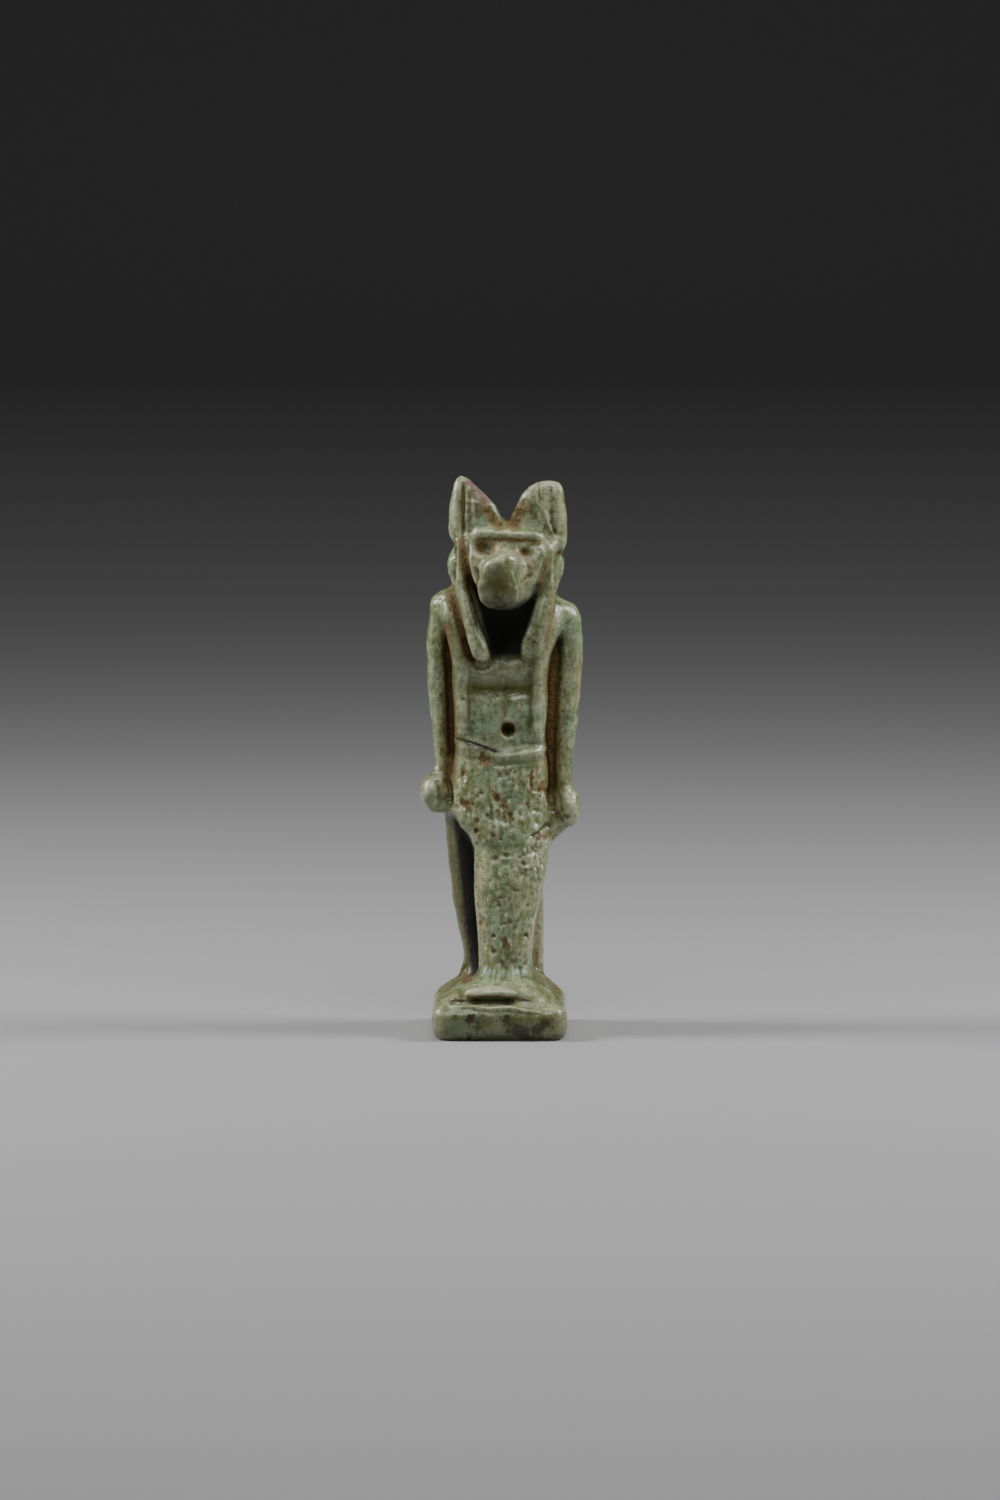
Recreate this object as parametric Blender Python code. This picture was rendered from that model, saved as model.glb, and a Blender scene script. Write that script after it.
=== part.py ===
"""Amulet of a striding jackal-headed god, in green glazed faience, cast in one piece with its plinth.

Metres, +Z up. The god faces -Y and his left leg is forward. The origin is on the plinth's underside.
The figure's carving is written in millimetres of its real size, with heights above the plinth's top, and
all of it is multiplied by MODULE, so that the figure follows FIGURE_HEIGHT. The plinth, the back pillar
and the hole for the cord have sizes of their own. The toes and the pillar keep their distances to the
plinth's edges.
"""

import math

import bmesh
import bpy
from mathutils import Vector

# Driving sizes, in metres
FIGURE_HEIGHT = 0.0414
PLINTH_WIDTH = 0.0107
PLINTH_DEPTH = 0.0146
PLINTH_HEIGHT = 0.0028
PLINTH_CORNER = 0.0013
TOES_BEHIND_EDGE = 0.0007
PILLAR_WIDTH = 0.0062
PILLAR_THICKNESS = 0.0032
PILLAR_BEFORE_EDGE = 0.0006
CORD_HOLE_DIAMETER = 0.0017
CORD_HOLE_BELOW_TOP = 0.0021
CORD_HOLE_WALL = 0.0010

# Millimetres of the figure's height at its real size
HEIGHT_IN_MODULES = 41.4
MODULE = FIGURE_HEIGHT / HEIGHT_IN_MODULES

# Places in the figure's millimetres: the pillar stands a little to the figure's left, against its back
PILLAR_X = 0.4
BACK_OF_BODY = 3.5
PILLAR_TOP = 34.3

# The pillar's back and the plinth's two edges, from the figure's back
PILLAR_BACK_Y = BACK_OF_BODY * MODULE + PILLAR_THICKNESS
PLINTH_BACK_Y = PILLAR_BACK_Y + PILLAR_BEFORE_EDGE
PLINTH_FRONT_Y = PLINTH_BACK_Y - PLINTH_DEPTH

# Surface steps: the voxels that fuse the shapes, and the share of faces that is kept
VOXEL = 0.19 * MODULE
KEPT_FACES = 0.07
RING_POINTS = 28
STROKE_SIDES = 12
STROKE_STEPS = 5
STROKE_TIP = 0.3
STROKE_SWELL = 1.4
HOLE_SIDES = 24
RIM_SHARE = 0.75
SUNK_SHARE = 0.08
STEPS_BETWEEN_SECTIONS = 4

GLAZE_COLOUR = (0.235, 0.275, 0.19, 1.0)
GLAZE_ROUGHNESS = 0.38


def clear_scene():
    for obj in list(bpy.data.objects):
        bpy.data.objects.remove(obj)


def helper(name, mesh):
    """A shape that the amulet is made from, kept out of the render."""
    obj = bpy.data.objects.new(name, mesh)
    bpy.context.scene.collection.objects.link(obj)
    obj.hide_render = True
    obj.display_type = "WIRE"
    return obj


def figure_point(x, y, z):
    """A point of the figure, from millimetres of its real size and the height above the plinth."""
    return Vector((x * MODULE, y * MODULE, PLINTH_HEIGHT + z * MODULE))


def smooth_between(values, at):
    """The value at a place between given ones, on a Catmull-Rom curve through them."""
    index = min(int(at), len(values) - 2)
    t = at - index
    before = values[max(index - 1, 0)]
    here = values[index]
    after = values[index + 1]
    beyond = values[min(index + 2, len(values) - 1)]
    return 0.5 * (
        2 * here
        + (after - before) * t
        + (2 * before - 5 * here + 4 * after - beyond) * t**2
        + (3 * here - before - 3 * after + beyond) * t**3
    )


def rounded(angle, power):
    """A point of a superellipse of half size 1: power 2 is round, and more is squarer."""
    c, s = math.cos(angle), math.sin(angle)
    return (
        math.copysign(abs(c) ** (2 / power), c),
        math.copysign(abs(s) ** (2 / power), s),
    )


def loft(name, sections, along="z", power=2.4, taper=0.0):
    """A closed shape through cross-sections, in the figure's millimetres.

    A section is (place along the axis, centre u, centre v, half u, half v). The axes u and v are x and y
    along z, x and z along y, and y and z along x. Taper widens the top of a section and narrows its foot.
    """
    bm = bmesh.new()
    columns = list(zip(*sections))
    rings = []
    for step in range((len(sections) - 1) * STEPS_BETWEEN_SECTIONS + 1):
        place, mid_u, mid_v, half_u, half_v = (
            smooth_between(column, step / STEPS_BETWEEN_SECTIONS) for column in columns
        )
        ring = []
        for k in range(RING_POINTS):
            u, v = rounded(2 * math.pi * k / RING_POINTS, power)
            u = mid_u + u * half_u * (1 + taper * v)
            v = mid_v + v * half_v
            xyz = {"x": (place, u, v), "y": (u, place, v), "z": (u, v, place)}[along]
            ring.append(bm.verts.new(figure_point(*xyz)))
        rings.append(ring)
    skin_over(bm, rings)
    return closed_helper(name, bm)


def skin_over(bm, rings):
    """Faces between rings of vertices, and one at each end."""
    count = len(rings[0])
    for near, far in zip(rings, rings[1:]):
        for k in range(count):
            n = (k + 1) % count
            bm.faces.new((near[k], near[n], far[n], far[k]))
    bm.faces.new(rings[0])
    bm.faces.new(rings[-1])


def closed_helper(name, bm):
    bmesh.ops.recalc_face_normals(bm, faces=bm.faces)
    mesh = bpy.data.meshes.new(name)
    bm.to_mesh(mesh)
    bm.free()
    return helper(name, mesh)


def ellipsoid(name, centre, radii):
    bm = bmesh.new()
    bmesh.ops.create_uvsphere(bm, u_segments=24, v_segments=16, radius=1)
    for vert in bm.verts:
        vert.co = figure_point(*(c + r * k for c, r, k in zip(centre, radii, vert.co)))
    return closed_helper(name, bm)


def stroke(name, points, radius):
    """A round bar or cut along points, in the figure's millimetres, with slimmer ends."""
    columns = list(zip(*points))
    count = (len(points) - 1) * STROKE_STEPS + 1
    line = [
        figure_point(*(smooth_between(column, k / STROKE_STEPS) for column in columns))
        for k in range(count)
    ]
    bm = bmesh.new()
    rings = []
    for k, centre in enumerate(line):
        tangent = (line[min(k + 1, count - 1)] - line[max(k - 1, 0)]).normalized()
        side = tangent.cross(Vector((0, 1, 0))).normalized()
        up = side.cross(tangent)
        from_end = min(k, count - 1 - k) / STROKE_STEPS
        size = radius * MODULE * min(1, STROKE_TIP + STROKE_SWELL * from_end)
        turns = (2 * math.pi * j / STROKE_SIDES for j in range(STROKE_SIDES))
        rings.append(
            [bm.verts.new(centre + size * (math.cos(a) * side + math.sin(a) * up)) for a in turns]
        )
    skin_over(bm, rings)
    return closed_helper(name, bm)


def block(name, low, high, corner=0.0, segments=5):
    """A box between two corners, in metres, with its upright edges and its rims rounded."""
    bm = bmesh.new()
    bmesh.ops.create_cube(bm, size=1)
    for vert in bm.verts:
        vert.co = Vector(
            h if k > 0 else l for l, h, k in zip(low, high, vert.co)
        )
    if corner:
        upright = [
            e for e in bm.edges if abs(e.verts[0].co.z - e.verts[1].co.z) > 1e-6
        ]
        bmesh.ops.bevel(
            bm, geom=upright, offset=corner, segments=segments, profile=0.5, affect="EDGES"
        )
        rims = [
            e
            for e in bm.edges
            if len(e.link_faces) == 2
            and abs(e.link_faces[0].normal.dot(e.link_faces[1].normal)) < 0.1
        ]
        bmesh.ops.bevel(
            bm, geom=rims, offset=corner * RIM_SHARE, segments=4, profile=0.5, affect="EDGES"
        )
    return closed_helper(name, bm)


def plinth():
    """The block under the feet, and the low mound of both feet that runs into it."""
    slab = block(
        "shape_plinth",
        (-PLINTH_WIDTH / 2, PLINTH_FRONT_Y, -SUNK_SHARE * PLINTH_CORNER),
        (PLINTH_WIDTH / 2, PLINTH_BACK_Y, PLINTH_HEIGHT),
        PLINTH_CORNER,
    )
    w, d = PLINTH_WIDTH / 2 / MODULE, PLINTH_DEPTH / 2 / MODULE
    y = (PLINTH_FRONT_Y + PLINTH_BACK_Y) / 2 / MODULE
    mound = loft(
        "shape_foot_mound",
        [
            (-0.90, 0.00, y, w - 0.35, d - 0.40),
            (-0.10, 0.00, y, w - 0.20, d - 0.45),
            (0.55, 0.00, y, w - 0.85, d - 0.85),
            (1.10, 0.15, y + 0.15, w - 1.65, d - 1.25),
            (1.50, 0.20, y + 0.40, w - 2.50, d - 2.00),
            (1.75, 0.25, y + 0.60, w - 3.40, d - 3.00),
        ],
        power=4,
    )
    return [slab, mound]


def toes_y():
    """How far forward the left foot's toes reach, in the figure's millimetres."""
    return (PLINTH_FRONT_Y + TOES_BEHIND_EDGE) / MODULE


def legs():
    toes = toes_y()
    front = loft(
        "shape_front_leg",
        [
            (1.20, 0.35, -2.6, 2.35, 2.30),
            (2.25, 0.33, -2.3, 2.05, 1.80),
            (4.88, 0.45, -1.9, 2.16, 1.90),
            (8.44, 0.68, -1.4, 2.72, 2.10),
            (10.4, 0.90, -1.1, 2.90, 2.10),
            (14.0, 0.90, 0.0, 3.10, 2.20),
        ],
    )
    foot = loft(
        "shape_front_foot",
        [
            (toes, 0.20, 0.68, 2.60, 0.40),
            (toes + 0.35, 0.20, 0.72, 3.15, 0.62),
            (toes + 1.40, 0.25, 0.80, 3.05, 0.85),
            (toes + 2.60, 0.30, 1.00, 2.55, 1.20),
            (toes + 3.80, 0.33, 1.20, 2.20, 1.60),
            (0.00, 0.33, 0.80, 1.60, 0.90),
        ],
        along="y",
        power=2.7,
        taper=-0.1,
    )
    rear = loft(
        "shape_rear_leg",
        [
            (0.60, -1.45, 2.30, 2.15, 2.60),
            (1.60, -1.40, 2.40, 1.75, 2.10),
            (3.15, -1.45, 2.60, 1.45, 1.80),
            (7.08, -2.05, 2.60, 1.60, 1.90),
            (12.0, -2.50, 2.45, 1.75, 2.10),
            (16.0, -2.60, 2.20, 1.82, 2.20),
        ],
    )
    web = loft(
        "shape_web_between_legs",
        [
            (0.50, 0.9, 1.6, 1.9, 3.4),
            (3.65, 0.9, 1.8, 1.7, 3.2),
            (8.05, 1.1, 2.0, 2.0, 3.2),
            (13.0, 1.2, 2.0, 2.4, 3.2),
        ],
        power=3.5,
    )
    return [front, foot, rear, web]


def kilt():
    """The kilt, with a hem that rises to its right and runs under the left fist, and its rolled belt."""
    skirt = loft(
        "shape_kilt",
        [
            (10.6, 1.05, -0.10, 2.40, 1.60),
            (12.0, 1.00, -0.15, 2.96, 2.42),
            (13.2, 0.56, 0.10, 3.36, 2.72),
            (14.5, 0.10, 0.60, 3.92, 2.85),
            (15.5, 0.00, 0.90, 4.02, 2.90),
            (17.5, 0.05, 1.20, 3.85, 2.84),
            (19.2, 0.08, 1.50, 3.72, 2.80),
            (20.1, 0.10, 1.70, 3.62, 2.65),
            (20.9, 0.10, 1.80, 3.45, 2.20),
        ],
        power=3.1,
    )
    belt = stroke(
        "shape_belt",
        [
            (-3.75, 0.30, 20.45),
            (-2.60, -0.90, 20.10),
            (-0.90, -1.05, 19.35),
            (1.00, -1.08, 19.10),
            (2.60, -0.98, 19.35),
            (3.80, 0.30, 19.80),
        ],
        0.38,
    )
    under_fist = loft(
        "shape_under_left_fist",
        [
            (11.4, 3.0, 1.2, 0.80, 1.6),
            (12.2, 3.3, 1.2, 1.00, 1.7),
            (13.0, 3.7, 1.1, 1.35, 1.7),
            (14.0, 4.2, 1.0, 1.70, 1.6),
            (15.2, 4.4, 1.0, 1.60, 1.5),
        ],
    )
    return [skirt, belt, under_fist]


def torso():
    trunk = loft(
        "shape_trunk",
        [
            (18.8, 0.10, 1.70, 3.60, 2.55),
            (21.9, 0.15, 1.70, 3.58, 2.72),
            (23.5, 0.18, 1.72, 3.64, 2.68),
            (24.5, 0.20, 1.78, 3.68, 2.40),
            (25.3, 0.20, 1.80, 3.76, 2.52),
            (26.4, 0.15, 1.82, 3.86, 2.85),
            (27.3, 0.15, 1.95, 3.98, 2.42),
            (28.7, 0.16, 2.00, 4.15, 2.10),
            (31.1, 0.30, 2.10, 4.80, 1.95),
        ],
        power=3,
    )
    shoulders = loft(
        "shape_shoulders",
        [
            (-5.55, 2.00, 30.35, 0.75, 0.80),
            (-5.20, 2.00, 30.30, 1.25, 1.45),
            (-4.20, 2.00, 30.45, 1.60, 1.85),
            (-3.00, 2.05, 30.55, 1.85, 1.95),
            (0.50, 2.05, 30.55, 2.00, 2.00),
            (3.60, 2.05, 30.20, 1.85, 1.80),
            (5.40, 2.00, 29.85, 1.60, 1.50),
            (6.10, 2.00, 29.65, 1.25, 1.30),
            (6.45, 2.00, 29.50, 0.75, 0.70),
        ],
        along="x",
        power=2.6,
    )
    arm_web = loft(
        "shape_web_behind_arms",
        [
            (12.6, 0.20, 2.75, 3.60, 0.95),
            (15.5, 0.15, 2.75, 4.60, 0.95),
            (23.0, 0.35, 2.75, 5.00, 0.95),
            (29.0, 0.40, 2.75, 5.20, 0.95),
        ],
        power=5,
    )
    right_chest = loft(
        "shape_right_side_of_chest",
        [
            (19.4, -2.80, 0.70, 0.70, 1.10),
            (21.0, -2.85, 0.36, 0.74, 1.20),
            (23.0, -2.90, 0.36, 0.74, 1.20),
            (24.8, -2.98, 0.42, 0.74, 1.20),
            (26.4, -3.10, 0.24, 0.70, 1.20),
            (28.0, -3.42, 0.30, 0.62, 1.25),
            (30.0, -3.70, 0.70, 0.75, 1.25),
            (31.4, -3.90, 1.20, 0.80, 1.10),
        ],
        power=3,
    )
    left_chest = loft(
        "shape_left_side_of_chest",
        [
            (19.4, 2.95, 0.70, 0.66, 1.10),
            (21.0, 3.00, 0.32, 0.68, 1.20),
            (23.0, 3.05, 0.32, 0.68, 1.20),
            (24.8, 3.10, 0.38, 0.70, 1.20),
            (26.6, 3.25, 0.20, 0.70, 1.20),
            (28.2, 3.66, 0.30, 0.80, 1.25),
            (30.0, 4.10, 0.70, 0.95, 1.25),
            (31.2, 4.35, 1.20, 0.90, 1.10),
        ],
        power=3,
    )
    return [trunk, shoulders, arm_web, right_chest, left_chest]


def arms():
    right = loft(
        "shape_right_arm",
        [
            (31.1, -4.80, 2.00, 0.70, 1.20),
            (29.7, -4.98, 2.00, 0.68, 1.30),
            (28.2, -5.08, 1.98, 0.74, 1.35),
            (24.4, -4.95, 1.85, 0.73, 1.30),
            (20.3, -4.66, 1.45, 0.62, 1.10),
            (18.3, -4.56, 1.20, 0.56, 1.00),
            (17.3, -4.75, 1.10, 0.70, 1.10),
        ],
    )
    left = loft(
        "shape_left_arm",
        [
            (30.5, 5.55, 2.00, 0.80, 1.20),
            (29.3, 5.72, 2.00, 0.82, 1.30),
            (27.5, 5.74, 1.98, 0.88, 1.35),
            (24.4, 5.56, 1.85, 0.92, 1.30),
            (21.6, 5.30, 1.65, 0.86, 1.20),
            (18.8, 5.08, 1.35, 0.72, 1.10),
            (16.4, 5.12, 1.05, 0.70, 1.10),
        ],
    )
    right_fist = loft(
        "shape_right_fist",
        [
            (17.75, -4.75, 1.05, 0.50, 1.00),
            (17.20, -4.95, 0.98, 1.05, 1.40),
            (16.20, -5.08, 0.92, 1.22, 1.60),
            (15.20, -4.90, 0.92, 1.12, 1.50),
            (14.55, -4.60, 0.95, 0.80, 1.00),
        ],
        power=2.8,
    )
    left_fist = loft(
        "shape_left_fist",
        [
            (16.60, 5.10, 1.05, 0.55, 1.00),
            (16.00, 5.25, 0.98, 1.00, 1.40),
            (15.00, 5.32, 0.92, 1.10, 1.60),
            (14.00, 5.25, 0.92, 1.02, 1.50),
            (13.45, 5.15, 0.95, 0.70, 1.00),
        ],
        power=2.8,
    )
    return [right, left, right_fist, left_fist]


def wig():
    """The wig: its mass beside and behind the head, and its two lappets on the chest."""
    mass = loft(
        "shape_wig",
        [
            (30.6, 0.50, 1.90, 3.60, 1.80),
            (32.0, 0.53, 1.80, 4.00, 1.95),
            (33.9, 0.50, 1.70, 4.66, 2.15),
            (34.9, 0.50, 1.70, 4.60, 2.15),
            (35.7, 0.52, 1.70, 4.15, 2.15),
            (36.5, 0.55, 1.70, 4.05, 2.15),
            (37.2, 0.60, 1.50, 3.60, 1.90),
            (37.8, 0.70, 1.30, 2.60, 1.50),
        ],
        power=2.7,
    )
    right_lappet = loft(
        "shape_right_lappet",
        [
            (36.3, -3.12, 0.00, 0.42, 0.90),
            (34.4, -3.18, -0.30, 0.44, 0.98),
            (32.4, -3.00, -0.50, 0.50, 1.05),
            (30.4, -2.50, -0.85, 0.62, 1.12),
            (28.7, -1.92, -1.10, 0.76, 1.12),
            (27.6, -1.58, -1.20, 0.80, 1.05),
            (26.9, -1.42, -1.20, 0.64, 0.80),
            (26.6, -1.40, -1.15, 0.32, 0.50),
        ],
        power=2.6,
    )
    left_lappet = loft(
        "shape_left_lappet",
        [
            (36.3, 4.05, 0.00, 0.46, 0.92),
            (34.4, 4.00, -0.30, 0.48, 0.98),
            (32.4, 3.80, -0.50, 0.66, 1.05),
            (30.4, 3.36, -0.80, 0.88, 1.10),
            (28.9, 2.88, -1.00, 0.98, 1.08),
            (28.0, 2.55, -1.08, 1.00, 1.02),
            (27.3, 2.45, -1.08, 0.80, 0.84),
            (27.0, 2.42, -1.05, 0.44, 0.48),
        ],
        power=2.6,
    )
    return [mass, right_lappet, left_lappet]


def head():
    skull = loft(
        "shape_head",
        [
            (3.00, 0.60, 34.05, 2.90, 3.15),
            (-0.40, 0.60, 34.05, 3.12, 3.22),
            (-1.60, 0.60, 34.00, 2.98, 3.06),
            (-2.10, 0.57, 33.60, 2.65, 2.80),
            (-2.60, 0.50, 33.30, 2.00, 2.20),
        ],
        along="y",
        power=2.6,
        taper=0.30,
    )
    muzzle = loft(
        "shape_muzzle",
        [
            (-0.80, 0.45, 33.66, 2.15, 2.82),
            (-2.20, 0.34, 33.40, 1.98, 2.48),
            (-3.40, 0.18, 33.15, 1.75, 2.16),
            (-4.70, -0.02, 32.98, 1.66, 1.84),
            (-5.50, -0.10, 32.95, 1.58, 1.72),
            (-5.92, -0.10, 33.00, 1.20, 1.30),
            (-6.05, -0.10, 33.05, 0.55, 0.62),
        ],
        along="y",
        power=2.4,
        taper=-0.14,
    )
    nose = stroke(
        "shape_nose",
        [(0.75, -1.60, 34.90), (0.80, -2.90, 34.85), (0.80, -4.20, 34.78), (0.74, -5.55, 34.66)],
        0.68,
    )
    brow = stroke(
        "shape_brow",
        [
            (-2.30, -0.90, 36.60),
            (-1.85, -1.80, 36.80),
            (0.60, -2.15, 36.74),
            (3.00, -1.85, 36.62),
            (3.50, -0.90, 36.50),
        ],
        0.34,
    )
    return [skull, muzzle, nose, brow]


def ears():
    """Both ears: the right one runs up to a point with a broken edge, and the left one is worn square."""
    right = loft(
        "shape_right_ear",
        [
            (35.8, -3.05, 0.70, 0.50, 0.80),
            (36.7, -2.55, 0.75, 1.50, 1.00),
            (37.6, -1.80, 0.80, 2.26, 1.00),
            (38.4, -1.98, 0.85, 2.08, 0.95),
            (39.2, -2.20, 0.88, 1.80, 0.88),
            (40.1, -2.55, 0.92, 1.22, 0.80),
            (40.7, -2.80, 0.96, 0.85, 0.66),
            (41.2, -3.00, 1.00, 0.50, 0.46),
            (41.4, -3.05, 1.00, 0.22, 0.26),
        ],
        power=3.1,
    )
    left = loft(
        "shape_left_ear",
        [
            (35.5, 4.78, 0.70, 0.45, 0.80),
            (36.2, 4.50, 0.75, 0.88, 1.00),
            (37.0, 3.60, 0.80, 1.80, 1.00),
            (37.9, 3.12, 0.85, 2.26, 1.00),
            (38.8, 3.25, 0.90, 2.06, 0.92),
            (39.8, 3.42, 0.95, 1.70, 0.84),
            (40.4, 3.62, 0.96, 1.42, 0.72),
            (40.8, 3.85, 0.98, 1.00, 0.52),
            (40.95, 3.95, 1.00, 0.50, 0.28),
        ],
        power=3.3,
    )
    return [right, left]


def back_pillar():
    """The upright slab against the figure's back, from the plinth to the back of the head."""
    middle = PILLAR_X * MODULE
    return [
        block(
            "shape_back_pillar",
            (middle - PILLAR_WIDTH / 2, PILLAR_BACK_Y - PILLAR_THICKNESS, PLINTH_HEIGHT / 2),
            (middle + PILLAR_WIDTH / 2, PILLAR_BACK_Y, figure_point(0, 0, PILLAR_TOP).z),
            PILLAR_THICKNESS * 0.14,
        )
    ]


def carving():
    """What is cut away: eye sockets, ear hollows, the belt's upper line, the navel and the toes' slot."""
    toes = toes_y()
    return [
        ellipsoid("cut_right_eye", (-1.15, -2.40, 35.75), (0.98, 0.55, 0.44)),
        ellipsoid("cut_left_eye", (2.00, -2.35, 35.45), (0.66, 0.55, 0.46)),
        ellipsoid("cut_navel", (0.76, -1.05, 21.20), (0.50, 0.90, 0.48)),
        stroke(
            "cut_right_ear_hollow",
            [(-2.80, -0.30, 36.6), (-2.85, -0.25, 38.2), (-2.95, 0.00, 40.2), (-3.02, 0.30, 41.2)],
            0.36,
        ),
        stroke(
            "cut_right_ear_fold",
            [(-1.70, -0.25, 37.2), (-1.85, -0.20, 38.4), (-2.15, 0.05, 40.2)],
            0.30,
        ),
        stroke(
            "cut_left_ear_hollow",
            [(4.40, -0.30, 36.2), (4.15, -0.28, 37.5), (3.92, -0.05, 39.6), (3.80, 0.20, 40.9)],
            0.34,
        ),
        stroke(
            "cut_left_ear_fold",
            [(3.05, -0.28, 37.3), (3.05, -0.18, 38.6), (3.15, 0.05, 40.2)],
            0.28,
        ),
        stroke(
            "cut_above_belt",
            [
                (-3.90, 0.20, 21.10),
                (-2.50, -1.10, 20.65),
                (-0.90, -1.25, 19.90),
                (1.00, -1.28, 19.70),
                (2.60, -1.15, 19.95),
                (4.00, 0.20, 20.40),
            ],
            0.20,
        ),
        stroke(
            "cut_under_toes",
            [
                (-3.30, toes + 0.15, 0.50),
                (-1.50, toes - 0.10, 0.62),
                (1.00, toes - 0.10, 0.62),
                (3.00, toes + 0.15, 0.46),
            ],
            0.30,
        ),
    ]


def cord_hole_cutter():
    """The hole for the cord, from side to side through the pillar behind the head."""
    radius = CORD_HOLE_DIAMETER / 2
    bm = bmesh.new()
    bmesh.ops.create_cone(
        bm,
        cap_ends=True,
        segments=HOLE_SIDES,
        radius1=radius,
        radius2=radius,
        depth=2 * PILLAR_WIDTH,
    )
    cutter = closed_helper("cut_cord_hole", bm)
    cutter.rotation_euler = (0, math.pi / 2, 0)
    top = figure_point(PILLAR_X, 0, PILLAR_TOP)
    cutter.location = (top.x, PILLAR_BACK_Y - CORD_HOLE_WALL - radius, top.z - CORD_HOLE_BELOW_TOP)
    return cutter


def floor_cutter():
    """Everything below the underside, which leaves the plinth a flat foot."""
    reach = PLINTH_WIDTH + PLINTH_DEPTH
    return block("cut_floor", (-reach, -reach, -PLINTH_HEIGHT), (reach, reach, 0.0))


def glaze():
    material = bpy.data.materials.new("green_faience_glaze")
    material.use_nodes = True
    shader = material.node_tree.nodes["Principled BSDF"]
    shader.inputs["Base Color"].default_value = GLAZE_COLOUR
    shader.inputs["Roughness"].default_value = GLAZE_ROUGHNESS
    shader.inputs["Metallic"].default_value = 0.0
    return material


def fused(name, shapes, cuts):
    """One closed body of overlapping shapes: fused by voxels, carved, softened and thinned out."""
    bm = bmesh.new()
    for shape in shapes:
        bm.from_mesh(shape.data)
    mesh = bpy.data.meshes.new(name)
    bm.to_mesh(mesh)
    bm.free()
    for shape in shapes:
        bpy.data.objects.remove(shape)
    obj = bpy.data.objects.new(name, mesh)
    bpy.context.scene.collection.objects.link(obj)

    def voxels():
        remesh = obj.modifiers.new("Fuse", "REMESH")
        remesh.mode = "VOXEL"
        remesh.voxel_size = VOXEL

    voxels()
    group = bpy.data.collections.new("Carving cutters")
    bpy.context.scene.collection.children.link(group)
    for cut in cuts:
        group.objects.link(cut)
        bpy.context.scene.collection.objects.unlink(cut)
    carve = obj.modifiers.new("Carve", "BOOLEAN")
    carve.operation = "DIFFERENCE"
    carve.operand_type = "COLLECTION"
    carve.collection = group
    voxels()
    soften = obj.modifiers.new("Soften", "SMOOTH")
    soften.factor = 0.5
    soften.iterations = 4
    thin = obj.modifiers.new("Thin out", "DECIMATE")
    thin.ratio = KEPT_FACES
    return obj


def cut_away(obj, cutter):
    cut = obj.modifiers.new(cutter.name, "BOOLEAN")
    cut.operation = "DIFFERENCE"
    cut.object = cutter


def main():
    clear_scene()
    shapes = plinth() + legs() + kilt() + torso() + arms() + wig() + head() + ears() + back_pillar()
    amulet = fused("jackal_god_amulet", shapes, carving())
    cut_away(amulet, cord_hole_cutter())
    cut_away(amulet, floor_cutter())
    amulet.data.materials.append(glaze())


main()
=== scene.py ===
"""Looks of the green faience amulet: its worn carving, its glaze, the stains in its hollows and the painted
shade and highlights laid into its colour.

The fine piece is a closer copy of the CAD solid, with the carving cut deeper and the wear of the photograph
added. Carving is written in the figure's millimetres: x to the god's left, z above the plinth's top, and y
only as the range of depth that a stroke may touch, with the god facing -Y.
"""

import math
from types import SimpleNamespace

import bpy
import numpy as np
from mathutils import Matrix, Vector, kdtree, noise


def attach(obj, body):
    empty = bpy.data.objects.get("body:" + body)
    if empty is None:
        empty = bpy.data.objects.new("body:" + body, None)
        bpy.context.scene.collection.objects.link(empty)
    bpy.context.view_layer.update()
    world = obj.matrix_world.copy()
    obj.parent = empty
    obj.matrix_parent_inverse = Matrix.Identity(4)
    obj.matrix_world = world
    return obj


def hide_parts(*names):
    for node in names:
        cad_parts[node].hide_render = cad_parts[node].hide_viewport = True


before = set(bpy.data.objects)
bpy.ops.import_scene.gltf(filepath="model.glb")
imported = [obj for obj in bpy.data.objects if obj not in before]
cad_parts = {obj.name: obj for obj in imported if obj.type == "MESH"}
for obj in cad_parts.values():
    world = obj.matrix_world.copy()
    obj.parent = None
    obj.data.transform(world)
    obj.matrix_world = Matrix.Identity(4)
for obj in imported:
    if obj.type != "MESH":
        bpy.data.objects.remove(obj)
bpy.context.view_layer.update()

MM = 0.001
NODE = "jackal_god_amulet"

# The plinth's top above the floor, in metres
PLINTH_TOP = 0.0028

# Places in the figure's millimetres
FLOOR = -PLINTH_TOP / MM
OFF_THE_FLOOR = FLOOR + 0.5
HEM = 12.2
BELT = 18.6
NECK = 30
PILLAR_BACK = 6.7

# Farther than any line reaches, and how softly a painted line's range of depth ends
FAR_AWAY = 99.0
SOFT_DEPTH = 0.2

# How far a fine and a broad hollow lie below their surroundings when they count in full
FINE_HOLLOW = 0.035
BROAD_HOLLOW = 0.24

# The fine copy: voxel size in metres, and the triangles that it keeps
FINE_VOXEL = 0.000112
MOST_TRIANGLES = 186000

# The camera looks slightly down from the front, as in the photograph, 1500 pixels high
CAMERA_DISTANCE = 0.6
CAMERA_HEIGHT = 0.074
CAMERA_AIM = (0.00004, 0.0, 0.0224)
PIXELS_PER_METRE = 12600
IMAGE_HEIGHT = 1500
SENSOR = 36

SEED = 7


def above(value, edge, soft):
    """0 up to the edge and 1 from soft beyond it, with a straight slope between."""
    return np.clip((value - edge) / soft, 0, 1)


def below(value, edge, soft):
    """1 until soft before the edge and 0 from the edge on."""
    return np.clip((edge - value) / soft, 0, 1)


def bell(value, middle, width, power=2):
    """1 at the middle, fading on both sides over about width, and flatter on top with a higher even power."""
    return np.exp(-(((value - middle) / width) ** power))


def search_tree(points):
    """A tree that finds the points near a place."""
    tree = kdtree.KDTree(len(points))
    for k, p in enumerate(points):
        tree.insert(p, k)
    tree.balance()
    return tree


def new_object(name, data):
    """An object with this data, placed in the scene."""
    thing = bpy.data.objects.new(name, data)
    bpy.context.scene.collection.objects.link(thing)
    return thing


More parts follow.
